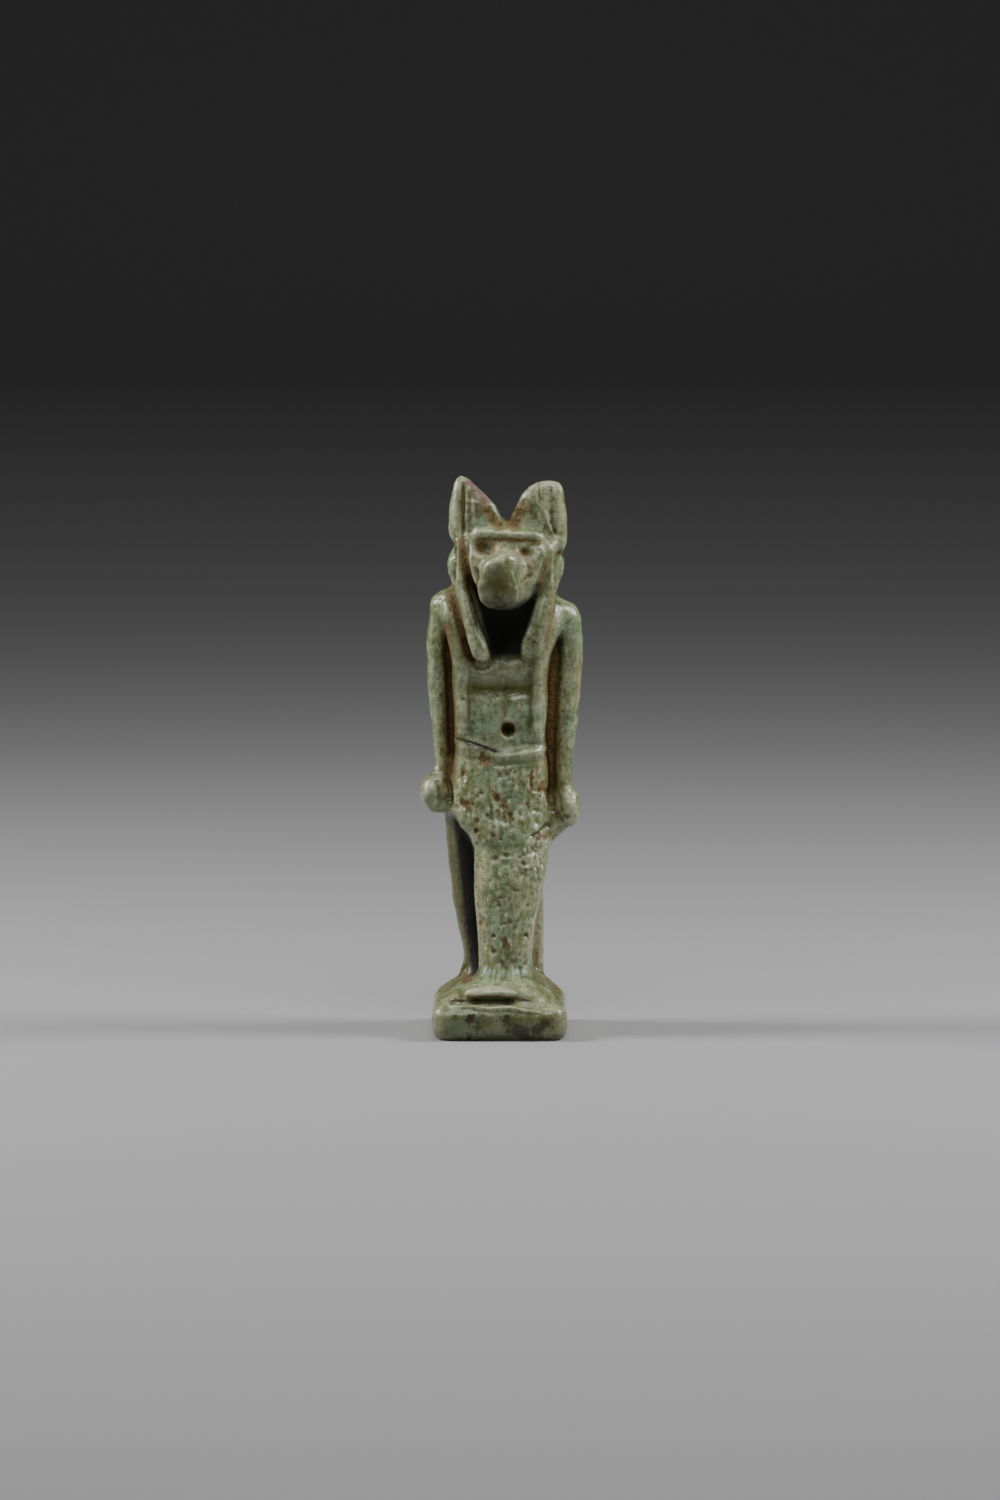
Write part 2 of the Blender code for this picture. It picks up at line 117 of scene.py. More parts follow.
def camera():
    """The photograph's view."""
    data = bpy.data.cameras.new("photo_camera")
    cam = new_object("photo_camera", data)
    cam.location = (0.0, -CAMERA_DISTANCE, CAMERA_HEIGHT)
    sight = Vector(CAMERA_AIM) - cam.location
    cam.rotation_euler = sight.to_track_quat("-Z", "Y").to_euler()
    data.sensor_fit = "VERTICAL"
    data.sensor_height = SENSOR
    data.lens = SENSOR * sight.length * PIXELS_PER_METRE / IMAGE_HEIGHT
    data.clip_start = 0.01
    data.clip_end = 20
    bpy.context.scene.camera = cam


def area_light(name, place, aim, size, power):
    data = bpy.data.lights.new(name, "AREA")
    data.shape = "RECTANGLE"
    data.size, data.size_y = size
    data.energy = power
    lamp = new_object(name, data)
    lamp.location = place
    lamp.rotation_euler = (Vector(aim) - Vector(place)).to_track_quat("-Z", "Y").to_euler()


def lights():
    """Two near side softboxes, a high key in front and a weak light far overhead for the paper behind."""
    middle = (0.0, 0.0, 0.02)
    area_light("softbox_left", (-0.2, 0.01, 0.17), middle, (0.075, 0.1), 0.66)
    area_light("softbox_right", (0.2, 0.005, 0.17), middle, (0.075, 0.1), 0.58)
    area_light("front_key", (0.015, -0.21, 0.28), middle, (0.2, 0.11), 0.5)
    area_light("high_overhead", (0.0, 0.3, 1.6), (0.0, 0.3, 0.0), (0.6, 0.6), 2.9)
    world = bpy.data.worlds.new("studio")
    world.use_nodes = True
    world.node_tree.nodes["Background"].inputs["Color"].default_value = (0.004, 0.004, 0.0045, 1)
    bpy.context.scene.world = world


def ground():
    """A pale sheet of paper that runs far back and turns up behind."""
    half, front, back, rise, turn, steps = 1.2, -0.9, 1.9, 0.9, 0.5, 8
    profile = [(front, 0.0), (back - turn, 0.0)]
    for k in range(1, steps + 1):
        a = math.pi / 2 * k / steps
        profile.append((back - turn + turn * math.sin(a), turn * (1 - math.cos(a))))
    profile.append((back, rise))
    verts = [(x, y, z) for y, z in profile for x in (-half, half)]
    faces = [(2 * k, 2 * k + 1, 2 * k + 3, 2 * k + 2) for k in range(len(profile) - 1)]
    mesh = bpy.data.meshes.new("paper_ground")
    mesh.from_pydata(verts, [], faces)
    mesh.shade_smooth()
    g = Graph("pale_paper")
    g.shader.inputs["Base Color"].default_value = (0.33, 0.33, 0.333, 1)
    g.shader.inputs["Roughness"].default_value = 0.85
    g.shader.inputs["Specular IOR Level"].default_value = 0.2
    mesh.materials.append(g.material)
    new_object("paper_ground", mesh)


class Graph:
    """A material's node tree, with a short way to add and link nodes."""

    def __init__(self, name):
        self.material = bpy.data.materials.new(name)
        self.material.use_nodes = True
        self.tree = self.material.node_tree
        self.shader = self.tree.nodes["Principled BSDF"]

    def put(self, socket, value):
        if isinstance(value, bpy.types.NodeSocket):
            self.tree.links.new(value, socket)
        else:
            socket.default_value = value

    def add(self, kind, settings=None, **inputs):
        node = self.tree.nodes.new("ShaderNode" + kind)
        for key, value in (settings or {}).items():
            setattr(node, key, value)
        for key, value in inputs.items():
            self.put(node.inputs[key.replace("_", " ")], value)
        return node

    def maths(self, operation, a, b=0.0, clamp=False):
        node = self.add("Math", {"operation": operation, "use_clamp": clamp})
        self.put(node.inputs[0], a)
        self.put(node.inputs[1], b)
        return node.outputs[0]

    def times(self, a, b, clamp=False):
        return self.maths("MULTIPLY", a, b, clamp)

    def plus(self, a, b, clamp=False):
        return self.maths("ADD", a, b, clamp)

    def vector(self, operation, *values):
        node = self.add("VectorMath", {"operation": operation})
        for socket, value in zip(node.inputs, values):
            self.put(socket, value)
        return node.outputs[0]

    def ramp(self, value, low, high):
        """0 below low, 1 above high and a smooth step between."""
        node = self.add("MapRange", {"interpolation_type": "SMOOTHSTEP"}, Value=value)
        node.inputs["From Min"].default_value = low
        node.inputs["From Max"].default_value = high
        return node.outputs[0]

    def mix(self, factor, a, b):
        node = self.add("Mix", {"data_type": "RGBA"})
        self.put(node.inputs["Factor"], factor)
        self.put(node.inputs[6], a)
        self.put(node.inputs[7], b)
        return node.outputs[2]

    def coat(self, under, over, where, strength):
        """The colour over laid on the colour under by a mask's share of strength."""
        return self.mix(self.times(where, strength), under, over)

    def noise(self, vector, size, detail=3.0, roughness=0.55):
        """Cloudy noise from 0 to 1 with blotches about as wide as size, in metres."""
        node = self.add("TexNoise", Vector=vector, Scale=1 / size, Detail=detail, Roughness=roughness)
        return node.outputs["Fac"]

    def cells(self, vector, size, feature):
        """Cells about as wide as size: the distance to an edge, or to the middle with a random value."""
        node = self.add("TexVoronoi", {"feature": feature}, Vector=vector, Scale=1 / size)
        if feature == "DISTANCE_TO_EDGE":
            return node.outputs["Distance"]
        split = self.add("SeparateColor", Color=node.outputs["Color"])
        return {"distance": node.outputs["Distance"], "random": split.outputs["Red"]}

    def mask(self, name):
        return self.add("Attribute", {"attribute_name": name}).outputs["Fac"]


class Clay:
    """A mesh that is carved by moving its vertices, in the figure's millimetres."""

    def __init__(self, mesh):
        self.mesh = mesh
        self.count = len(mesh.vertices)
        flat = np.empty(self.count * 3)
        mesh.vertices.foreach_get("co", flat)
        self.co = flat.reshape(-1, 3) / MM
        self.co[:, 2] -= PLINTH_TOP / MM
        edges = np.empty(len(mesh.edges) * 2, dtype=np.int64)
        mesh.edges.foreach_get("vertices", edges)
        self.edges = edges.reshape(-1, 2)
        ends = np.concatenate((self.edges[:, 0], self.edges[:, 1]))
        self.links = np.bincount(ends, minlength=self.count)
        self.refresh()

    def refresh(self):
        """Write the moved vertices to the mesh and read its normals again."""
        out = self.co.copy()
        out[:, 2] += PLINTH_TOP / MM
        self.mesh.vertices.foreach_set("co", (out * MM).ravel())
        self.mesh.update()
        flat = np.empty(self.count * 3)
        self.mesh.vertex_normals.foreach_get("vector", flat)
        self.no = flat.reshape(-1, 3)

    def neighbours_mean(self, values):
        """The mean of each vertex's neighbours."""
        a, b = self.edges[:, 0], self.edges[:, 1]
        total = np.empty_like(values)
        for k in range(values.shape[1]):
            column = values[:, k]
            total[:, k] = np.bincount(a, column[b], self.count) + np.bincount(b, column[a], self.count)
        return total / self.links[:, None]

    def smoothed(self, times):
        co = self.co
        for _ in range(times):
            co = 0.5 * co + 0.5 * self.neighbours_mean(co)
        return co

    def soften(self, times, weight=1.0):
        weight = np.broadcast_to(weight, (self.count,))[:, None]
        self.co = self.co + weight * (self.smoothed(times) - self.co)
        self.refresh()

    def front(self, depth, turn=0.2):
        """Which vertices face the front and lie in a range of depth."""
        y = self.co[:, 1]
        return (self.no[:, 1] < turn) & (y > depth[0]) & (y < depth[1])

    def from_line(self, points, depth):
        """Each front vertex's distance from a line drawn on the front, and its place along it from 0 to 1."""
        far = np.full(self.count, FAR_AWAY)
        place = np.zeros(self.count)
        x, z = self.co[:, 0], self.co[:, 2]
        lengths = [math.dist(p, q) for p, q in zip(points, points[1:])]
        whole = sum(lengths)
        done = 0.0
        for (px, pz), (qx, qz), length in zip(points, points[1:], lengths):
            t = np.clip(((x - px) * (qx - px) + (z - pz) * (qz - pz)) / length**2, 0, 1)
            gap = np.hypot(x - px - t * (qx - px), z - pz - t * (qz - pz))
            nearer = gap < far
            far[nearer] = gap[nearer]
            place[nearer] = ((done + t * length) / whole)[nearer]
            done += length
        far[~self.front(depth, 0.15)] = FAR_AWAY
        return far, place

    def strokes(self, depth, lines, fade=0.18):
        """Raise soft lines, or cut them where height is negative, each (width, height, points...)."""
        for width, height, *points in lines:
            far, place = self.from_line(points, depth)
            near = far < 3 * width
            rise = height * bell(far[near], 0, width)
            rise *= np.clip(np.minimum(place[near], 1 - place[near]) / fade + 0.15, 0, 1)
            self.co[near] += self.no[near] * rise[:, None]

    def ledge(self, depth, width, height, *points):
        """Raise the surface above a line on the front, so that it ends at the line in a low step."""
        far, place = self.from_line(points, depth)
        across = np.interp(self.co[:, 0], *zip(*points))
        rise = height * above(self.co[:, 2], across, 0.08) * bell(far, 0, width)
        rise *= np.clip(np.minimum(place, 1 - place) / 0.12 + 0.1, 0, 1)
        self.push(rise)

    def dent(self, centre, size, height, depth):
        """Raise or sink an oval spot on the front."""
        u = (self.co[:, 0] - centre[0]) / size[0]
        v = (self.co[:, 2] - centre[1]) / size[1]
        far = u * u + v * v
        near = (far < 9) & self.front(depth)
        self.co[near] += self.no[near] * (height * np.exp(-far[near]))[:, None]

    def dents(self, depth, spots):
        """Several spots, sunk where sinking is positive, each (x, z, half width, half height, sinking)."""
        for x, z, wide, tall, sinking in spots:
            self.dent((x, z), (wide, tall), -sinking, depth)

    def sinking(self, times):
        """How far each vertex lies below its surroundings, which are smoothed so many times."""
        return np.einsum("ij,ij->i", self.smoothed(times) - self.co, self.no)

    def push(self, height):
        self.co += self.no * height[:, None]
        self.refresh()

    def cloud(self, size, offset=0.0):
        """Smooth noise from -1 to 1, with blotches about as wide as size."""
        shift = Vector((offset, -offset, 2 * offset))
        scaled = self.co / size
        return np.array([noise.noise(Vector(p) + shift) for p in scaled])


def fine_copy():
    """A denser copy of the CAD solid, with the marks of its facets smoothed away."""
    source = bpy.data.objects[NODE]
    piece = new_object("jackal_amulet_faience", source.data.copy())
    remesh = piece.modifiers.new("Voxels", "REMESH")
    remesh.mode = "VOXEL"
    remesh.voxel_size = FINE_VOXEL
    settle(piece)
    return piece


def settle(piece):
    """Apply the piece's modifiers."""
    graph = bpy.context.evaluated_depsgraph_get()
    mesh = bpy.data.meshes.new_from_object(piece.evaluated_get(graph))
    piece.modifiers.clear()
    old = piece.data
    piece.data = mesh
    bpy.data.meshes.remove(old)


def carve_ears(clay):
    """Both ears' outer rolls and the thin ridges beside them."""
    ear = (-3.0, 3.0)
    clay.soften(14, above(clay.co[:, 2], 37.3, 0.6))
    clay.strokes(ear, (
        (0.13, -0.15, (-2.9, 41), (-2.84, 39.4), (-2.88, 37.9), (-2.9, 36.4)),
        (0.3, 0.12, (-3.25, 40.8), (-3.5, 39), (-3.45, 37)),
        (0.09, 0.09, (-2.64, 40.2), (-2.62, 39), (-2.6, 37.6)),
        (0.12, -0.06, (-2.36, 40.3), (-2.34, 38.6), (-2.28, 37.3)),
        (0.08, 0.1, (-2.14, 39.7), (-2.08, 38.6), (-2.02, 37.5)),
        (0.14, -0.05, (-1.84, 39.4), (-1.78, 38.2), (-1.7, 37.5)),
        (0.3, 0.06, (-1.48, 39.2), (-1.42, 38), (-1.4, 37.5)),
        (0.34, -0.1, (-1, 38.9), (-0.6, 38.1), (-0.4, 37.6)),
        (0.1, 0.08, (-2.7, 39.35), (-2.1, 39.3), (-1.35, 39.2)),
        (0.07, 0.12, (3.32, 40.8), (3.32, 40.3), (3.3, 39.7)),
        (0.06, 0.07, (3, 40.6), (3.02, 40), (2.98, 39.2)),
        (0.1, 0.13, (3.56, 38.8), (3.86, 37.8), (4.12, 37), (4.36, 36.5)),
        (0.1, 0.1, (3.12, 38.5), (3.24, 37.6), (3.36, 36.9)),
        (0.15, -0.04, (3.38, 38.4), (3.56, 37.6), (3.74, 36.9)),
        (0.14, -0.04, (4.02, 38.6), (4.18, 37.8), (4.5, 36.7)),
        (0.16, -0.06, (4.05, 40.6), (4.12, 39.6), (4.2, 38.6)),
        (0.22, 0.08, (4.6, 40.4), (4.72, 38.8), (4.74, 37)),
        (0.24, -0.07, (2.6, 39.2), (2.66, 38.2), (2.85, 37.4)),
        (0.24, -0.08, (1.95, 39.6), (1.65, 38.7), (1.4, 38)),
    ))
    x, _, z = clay.co.T
    clay.co[:, 2] -= 0.22 * bell(x, 0.66, 0.2) * above(z, 37.1, 0.6)
    clay.refresh()


def carve_face(clay):
    """Brow bar, eye sockets, cheeks, and the muzzle with its slanting front and rolled lip."""
    x, y, z = clay.co.T
    snout_front = below(y, -4.3, 1.2) * (z > NECK)
    clay.soften(26, below(y, -3.0, 0.8) * (z > NECK) * (z < 36.2))
    clay.co[:, 1] += 0.13 * snout_front * np.clip(34.9 - clay.co[:, 2], -0.5, 4)
    x, y, z = clay.co.T
    clay.co[:, 2] += 0.5 * below(x, 0.95, 0.8) * above(z, 33.0, 1.2) * below(y, -3.4, 1.4)
    clay.soften(30, bell(z, 37.65, 0.3) * (y < 1.5) * (np.abs(x - 0.6) < 3))
    face = (-3.4, -0.2)
    clay.strokes((-3.2, 0.5), (
        (0.17, 0.17, (-1.85, 37.12), (-0.4, 37.12), (1.2, 37.02)),
        (0.12, 0.12, (1, 37), (2.2, 36.9), (3.25, 36.8)),
        (0.16, 0.1, (-2.7, 36.8), (-2.45, 36.6)),
    ))
    clay.dent((-1.8, 37.08), (0.27, 0.26), 0.14, (-3.2, 0.5))
    clay.strokes(face, (
        (0.16, -0.1, (-1.5, 36.52), (0.2, 36.54), (1.5, 36.46), (3.1, 36.36)),
        (0.12, 0.15, (-2.34, 35.5), (-2.12, 34.4), (-1.86, 32.6)),
        (0.14, 0.11, (-2.05, 35.45), (-1.6, 35.05), (-1.2, 34.85)),
        (0.13, -0.5, (-1.8, 34.25), (-1.82, 33.6), (-1.76, 32.9)),
        (0.16, 0.14, (2.95, 35.7), (2.86, 35.1), (2.5, 34.6), (2.1, 34.45)),
        (0.14, 0.1, (1.6, 34.7), (1.95, 34.45), (2.1, 34.1), (1.9, 33.75)),
        (0.12, 0.08, (2.55, 36.15), (2.95, 36.05), (3.2, 35.7)),
        (0.3, 0.08, (2.7, 34.2), (2.66, 33.4), (2.3, 32.6)),
    ))
    clay.dents(face, (
        (-1.25, 35.95, 0.75, 0.36, 0.14), (-0.85, 35.45, 0.5, 0.26, 0.14), (1.95, 35.45, 0.6, 0.42, -0.16),
        (2.72, 36.05, 0.3, 0.18, 0.1), (0.3, 35.85, 0.6, 0.4, -0.1),
    ))
    clay.refresh()
    clay.strokes((-6.8, -2.6), (
        (0.26, 0.18, (-1.45, 34.1), (-0.8, 34.68), (0, 35.1), (0.72, 35.36), (1.22, 35.1), (1.38, 34.5)),
        (0.2, 0.08, (-1.58, 33.6), (-1.54, 32.7), (-1.34, 31.9)),
        (0.2, 0.15, (1.3, 33), (1.36, 32.2), (1.1, 31.5)),
        (0.18, -0.08, (0.94, 32.7), (0.86, 32.2), (0.78, 31.8)),
        (0.13, -0.16, (1.68, 33), (1.7, 32.3), (1.54, 31.7)),
    ), 0.3)
    clay.strokes((-5.9, -1.4), ((0.1, -0.13, (1.6, 33.05), (2.05, 33.45), (2.6, 33.8)),))
    clay.dent((-0.1, 33.45), (0.95, 1.0), -0.16, (-7.0, -3.0))
    clay.dent((0.78, 35.05), (0.42, 0.28), 0.1, (-6.5, -2.6))
    clay.dents((-7, -1.2), (
        (0.04, 34.5, 0.08, 0.08, 0.07), (0.64, 34.1, 0.08, 0.08, 0.07), (0.04, 33, 0.12, 0.12, 0.07),
        (-0.5, 33.6, 0.1, 0.1, 0.05), (2.26, 33.7, 0.11, 0.11, 0.1), (2.1, 32.95, 0.14, 0.14, 0.1),
        (-0.9, 32, 0.16, 0.16, 0.06), (0.2, 31.7, 0.2, 0.2, 0.06),
    ))
    x, y, z = clay.co.T
    clay.soften(6, (y < -1.6) * (z > 31.0) * (z < 36.6) * (np.abs(x - 0.4) < 2.6))


def carve_wig(clay):
    """Creases beside the lappets, their sharp inner edges, and the hollow under the muzzle."""
    clay.strokes((-2.6, 1.4), (
        (0.2, -0.24, (-2.6, 36.2), (-2.68, 34.9), (-2.42, 33.4), (-1.9, 32.2)),
        (0.16, -0.2, (3.62, 35), (3.38, 33.8), (2.95, 32.5)),
        (0.15, -0.2, (-3.58, 36), (-3.6, 34.4), (-3.58, 33)),
        (0.14, -0.12, (4.45, 35.4), (4.42, 34), (4.5, 32.9)),
        (0.12, 0.08, (-3.85, 35), (-3.98, 34.2), (-3.9, 33.3)),
        (0.12, 0.1, (4.85, 35), (4.98, 34.2), (4.9, 33.3)),
    ))
    clay.strokes((-1.9, 1.2), (
        (0.17, -0.26, (-3.6, 31.8), (-3.15, 29.8), (-2.78, 28.2), (-2.35, 27), (-1.5, 26.5)),
        (0.18, -0.08, (4.3, 31), (3.92, 29.4), (3.5, 27.6), (2.8, 26.8)),
    ))
    clay.strokes((-3.2, 0.6), (
        (0.08, 0.14, (-2.8, 32.3), (-2.26, 30.4), (-1.75, 28.9), (-1.28, 27.9)),
        (0.14, 0.08, (-3.05, 32.8), (-2.75, 31), (-2.2, 29.2)),
        (0.1, 0.12, (2.55, 29), (2.2, 28.7), (1.85, 28.3)),
        (0.12, 0.1, (3.45, 31.8), (3.2, 30.6), (2.85, 29.6)),
    ))
    clay.dents((-3.2, 0.6), ((2.74, 28.35, 0.19, 0.15, 0.28), (2.98, 28.2, 0.12, 0.1, 0.16)))
    clay.dent((0.6, 29.2), (0.95, 1.6), -0.55, (-0.9, 1.5))
    x, y, z = clay.co.T
    clay.soften(70, bell(x, 3.3, 0.7) * bell(z, 29.0, 1.8) * (y < 1.0))


def carve_trunk(clay):
    """Raised sides and a sunken middle, the chest's wavy edge, the belly with the navel, and the belt."""
    chest = (-2.2, 1.2)
    x, y, z = clay.co.T
    old_belt = bell(z + 0.32 * (x + 1.0), 19.9, 0.8) * below(x, 1.0, 1.5)
    old_edge = 0.8 * bell(z, 23.9, 0.5) * (np.abs(x) < 2.6)
    clay.soften(60, np.maximum(old_belt, old_edge) * (y < 1.0))
    clay.dent((0.0, 25.7), (2.3, 0.5), 0.07, chest)
    x, y, z = clay.co.T
    clay.soften(50, bell(z, 26.45, 0.35) * bell(x, 0.7, 1.6, 4) * (y < 1.2))
    clay.strokes(chest, (
        (0.34, 0.1, (-2.98, 26.4), (-2.95, 24), (-2.95, 20.8)),
        (0.3, 0.18, (3.12, 27.6), (3.1, 25), (3.06, 20.4)),
        (0.22, -0.1, (2.42, 26.4), (2.4, 24.6), (2.42, 21)),
        (0.16, -0.07, (-2.42, 25.8), (-2.42, 24), (-2.42, 21.4)),
        (0.13, 0.14, (-2.45, 26.25), (-1.85, 25.95), (-1.2, 25.88), (-0.62, 26.2), (0.12, 26.42)),
        (0.2, 0.05, (0, 26.42), (1.25, 26.35), (2.5, 26.7)),
        (0.1, 0.09, (0.95, 23.6), (1.6, 23.78), (2.45, 23.86)),
        (0.24, -0.05, (0.36, 23.8), (0.36, 23), (0.46, 22.2)),
    ))
    clay.dents(chest, (
        (-1.4, 22.5, 0.9, 0.9, -0.05), (0.66, 21.3, 0.34, 0.38, 0.6), (0.86, 21.45, 0.22, 0.18, 0.12),
    ))
    clay.strokes(chest, ((0.11, 0.12, (0.22, 20.72), (0.68, 20.52), (1.12, 20.72)),))
    x, y, z = clay.co.T
    clay.soften(10, bell(x, 0.68, 0.8) * bell(z, 21.3, 0.8) * (y < 1.0))
    clay.strokes(chest, (
        (0.22, 0.13, (-0.35, 19.15), (0.68, 19.24), (1.6, 19.42), (3.2, 19.74)),
        (0.3, -0.03, (-0.4, 18.66), (0.7, 18.72), (1.8, 18.88), (3.2, 19.1)),
        (0.1, 0.05, (-0.5, 18.32), (0.3, 18.22), (1.2, 18.42), (2.9, 18.55)),
        (0.18, 0.08, (-2.7, 19.45), (-1.9, 19.1)),
    ))
    clay.dent((-1.26, 19.05), (0.42, 0.38), -0.16, chest)
    clay.refresh()
    clay.ledge(chest, 1.3, 0.06, (-3.5, 20.64), (-2.34, 20.32), (-1.42, 19.98), (-0.36, 19.6), (0.2, 19.5))


def carve_kilt(clay):
    """Thin pleats, burst bubbles and worn lumps of the kilt, and its hem under the left fist."""
    cloth = (-3.6, 0.8)
    for k in range(10):
        top = -3.0 + 0.66 * k
        side = 0.14 * math.sin(2.3 * k)
        middle = (0.92 * top + 0.08, 16.4), (0.84 * top + 0.3 - side, 14.6)
        sinking = 0.028 + 0.018 * math.cos(1.7 * k)
        clay.strokes(cloth, ((0.14, -sinking, (top + side, 18.3), *middle, (0.76 * top + 0.5, 12.6)),), 0.3)
    clay.dents(cloth, (
        (-2.87, 17.9, 0.16, 0.46, 0.14), (-2.74, 15.5, 0.36, 0.28, 0.24), (-3.4, 15.2, 0.2, 0.2, 0.16),
        (-2.4, 14.9, 0.2, 0.22, 0.18), (-0.3, 16, 0.26, 0.26, 0.22), (0.2, 15.3, 0.22, 0.2, 0.18),
        (0.75, 14.7, 0.24, 0.22, 0.22), (0.49, 14.1, 0.18, 0.16, 0.14), (2.52, 17.3, 0.12, 0.6, 0.22),
        (3.24, 16.4, 0.22, 0.24, 0.22), (2.75, 16.5, 0.14, 0.14, 0.12), (-1.81, 13.35, 0.22, 0.2, 0.2),
        (-0.52, 13.05, 0.2, 0.18, 0.18), (-1.75, 14.2, 0.14, 0.14, 0.12), (0.1, 12.75, 0.16, 0.14, 0.14),
        (1.2, 17.9, 0.12, 0.2, 0.12), (2.9, 15, 0.24, 0.18, 0.16), (-1, 14.6, 0.14, 0.14, 0.1),
    ))
    clay.strokes(cloth, (
        (0.26, -0.26, (2.3, 12.9), (3.2, 13.2), (4.1, 13.9)),
        (0.22, 0.12, (2, 12.3), (2.9, 12.4), (3.5, 12.7)),
        (0.3, -0.18, (3.7, 16.8), (4.1, 15.6), (4.3, 14.6)),
    ))
    clay.refresh()


def carve_fists(clay):
    """Each fist is a round knob with a rough hollow beside it."""
    hand = (-2.0, 2.4)
    clay.strokes(hand, (
        (0.17, -0.24, (-4.05, 17.6), (-3.92, 16.4), (-3.88, 15.2)),
        (0.22, -0.12, (-5.05, 17.4), (-4.78, 16.6), (-4.72, 15.6)),
        (0.16, 0.08, (-5.15, 18.2), (-4.75, 17.9)),
        (0.2, -0.16, (4.75, 16.2), (4.85, 15.3), (5.1, 14.6)),
        (0.18, -0.14, (5, 14.5), (5.6, 14.25)),
        (0.14, 0.1, (5.15, 16.6), (5.6, 16.3)),
    ))
    clay.dents(hand, ((-5.6, 16.4, 0.5, 0.5, -0.12), (5.6, 15.2, 0.5, 0.48, -0.16)))
    clay.refresh()


def carve_legs(clay):
    """Pits on the front leg, ridges that run into the foot, and the slot under the toes."""
    shin = (-5.2, 0.5)
    clay.dents(shin, (
        (-0.48, 5.15, 0.16, 0.2, 0.2), (2.12, 5.15, 0.13, 0.15, 0.18), (0.84, 6.3, 0.18, 0.22, 0.12),
        (0.42, 4.75, 0.24, 0.3, 0.12), (-0.42, 3.95, 0.17, 0.17, 0.14), (0.45, 11.55, 0.3, 0.14, 0.18),
        (-0.35, 11.2, 0.4, 0.16, 0.14), (2.25, 7.6, 0.18, 0.2, 0.1), (-1.35, 6.3, 0.16, 0.34, 0.14),
        (1.35, 8.7, 0.14, 0.14, 0.1), (0.6, 10, 0.12, 0.12, 0.1), (-1.7, 10.5, 0.1, 0.16, 0.1),
        (1, 3.2, 0.12, 0.3, 0.1), (0.2, 3, 0.12, 0.28, 0.1), (-0.8, 3.1, 0.12, 0.26, 0.1),
        (0.45, 11.25, 0.3, 0.12, -0.14),
    ))
    _, y, z = clay.co.T
    clay.soften(110, bell(z, 2.2, 0.9) * (y < -1.5))
    for side in range(-4, 5):
        x = 0.5 + 0.5 * side
        splay = 1 + 0.09 * abs(side)
        line = (x, 3.0), (x + 0.05 * side, 2.3), ((x - 0.4) * splay + 0.4 + 0.12 * side, 1.7)
        clay.strokes((-6.0, 0.5), ((0.11, 0.06 if side % 2 else -0.07, *line),), 0.3)
    toes = (-7.6, -4.2)
    x, y, z = clay.co.T
    clay.soften(130, bell(x, 2.9, 1.3, 4) * bell(z, 0.45, 0.75) * (y < -4.2))
    clay.strokes(toes, (
        (0.22, 0.14, (-3.4, 0.62), (-2.5, 1), (-0.9, 1.26), (1, 1.02), (2.2, 0.7), (3.2, 0.3)),
        (0.2, 0.26, (-3.4, 0.45), (-2.5, 0.52)),
        (0.16, 0.14, (-2.2, 0.84), (-0.8, 0.92), (1, 0.84)),
        (0.22, -0.5, (-2.4, 0.28), (-1.2, 0.34), (0.4, 0.34), (1.2, 0.28)),
        (0.18, -0.24, (-4, 0.1), (-3.4, 0.28), (-2.8, 0.4)),
        (0.12, 0.19, (-4.1, -0.14), (-2.4, -0.1), (-0.8, -0.26), (0.8, -0.18), (2, -0.4), (3.3, -0.52)),
    ))
    x, y, z = clay.co.T
    lip = bell(z, 0.85, 0.38) * bell(x, 0, 3.3, 6) * (y < -4.2)
    clay.co[:, 2] -= lip * np.minimum(0.065 * (x + 0.8) ** 2, 0.34)
    clay.refresh()


def lumps(clay):
    """Small worn lumps: many on the kilt and the front leg, and a frosted patch at the leg's upper left."""
    rng = np.random.default_rng(SEED + 1)

    def scatter(count, draw, across, along, size, stretch, height, depth):
        """Random oval lumps and hollows, placed by a draw of across and then one of along."""
        for _ in range(count):
            centre = (draw(*across), draw(*along))
            r = rng.uniform(*size)
            clay.dent(centre, (r, r * rng.uniform(*stretch)), rng.uniform(*height), depth)

    kilt, leg = (-3.8, 0.6), (-5, 0.6)
    scatter(110, rng.uniform, (-3.2, 3.6), (HEM, BELT), (0.12, 0.24), (0.9, 1.8), (-0.09, 0.12), kilt)
    scatter(60, rng.normal, (2.75, 0.5), (11.2, 0.6), (0.07, 0.12), (1.0, 2.6), (-0.14, 0.16), leg)
    scatter(170, rng.uniform, (-1.8, 3.0), (2.8, 11.6), (0.08, 0.18), (0.8, 1.9), (-0.09, 0.09), leg)
    clay.refresh()


def round_the_plinth(clay):
    """The plinth is worn round at its rims, more at the front."""
    _, y, z = clay.co.T
    low = below(z, 0.7, 0.8) * above(z, FLOOR + 0.02, 0.15)
    clay.soften(12, low * np.clip((3.0 - y) / 3.0, 0.35, 1))


def wear(clay):
    """Waves, small lumps and specks of a hand-pressed, fired and buried surface."""
    _, y, z = clay.co.T
    keep = np.clip((PILLAR_BACK - 0.04 - y) / 0.1, 0.15, 1) * above(z, FLOOR + 0.01, 0.2)
    waves = 0.07 * clay.cloud(2.6) + 0.05 * clay.cloud(1.1, 5.0)
    grain = 0.02 * clay.cloud(0.5, 9.0)
    clay.push(keep * (waves + grain))


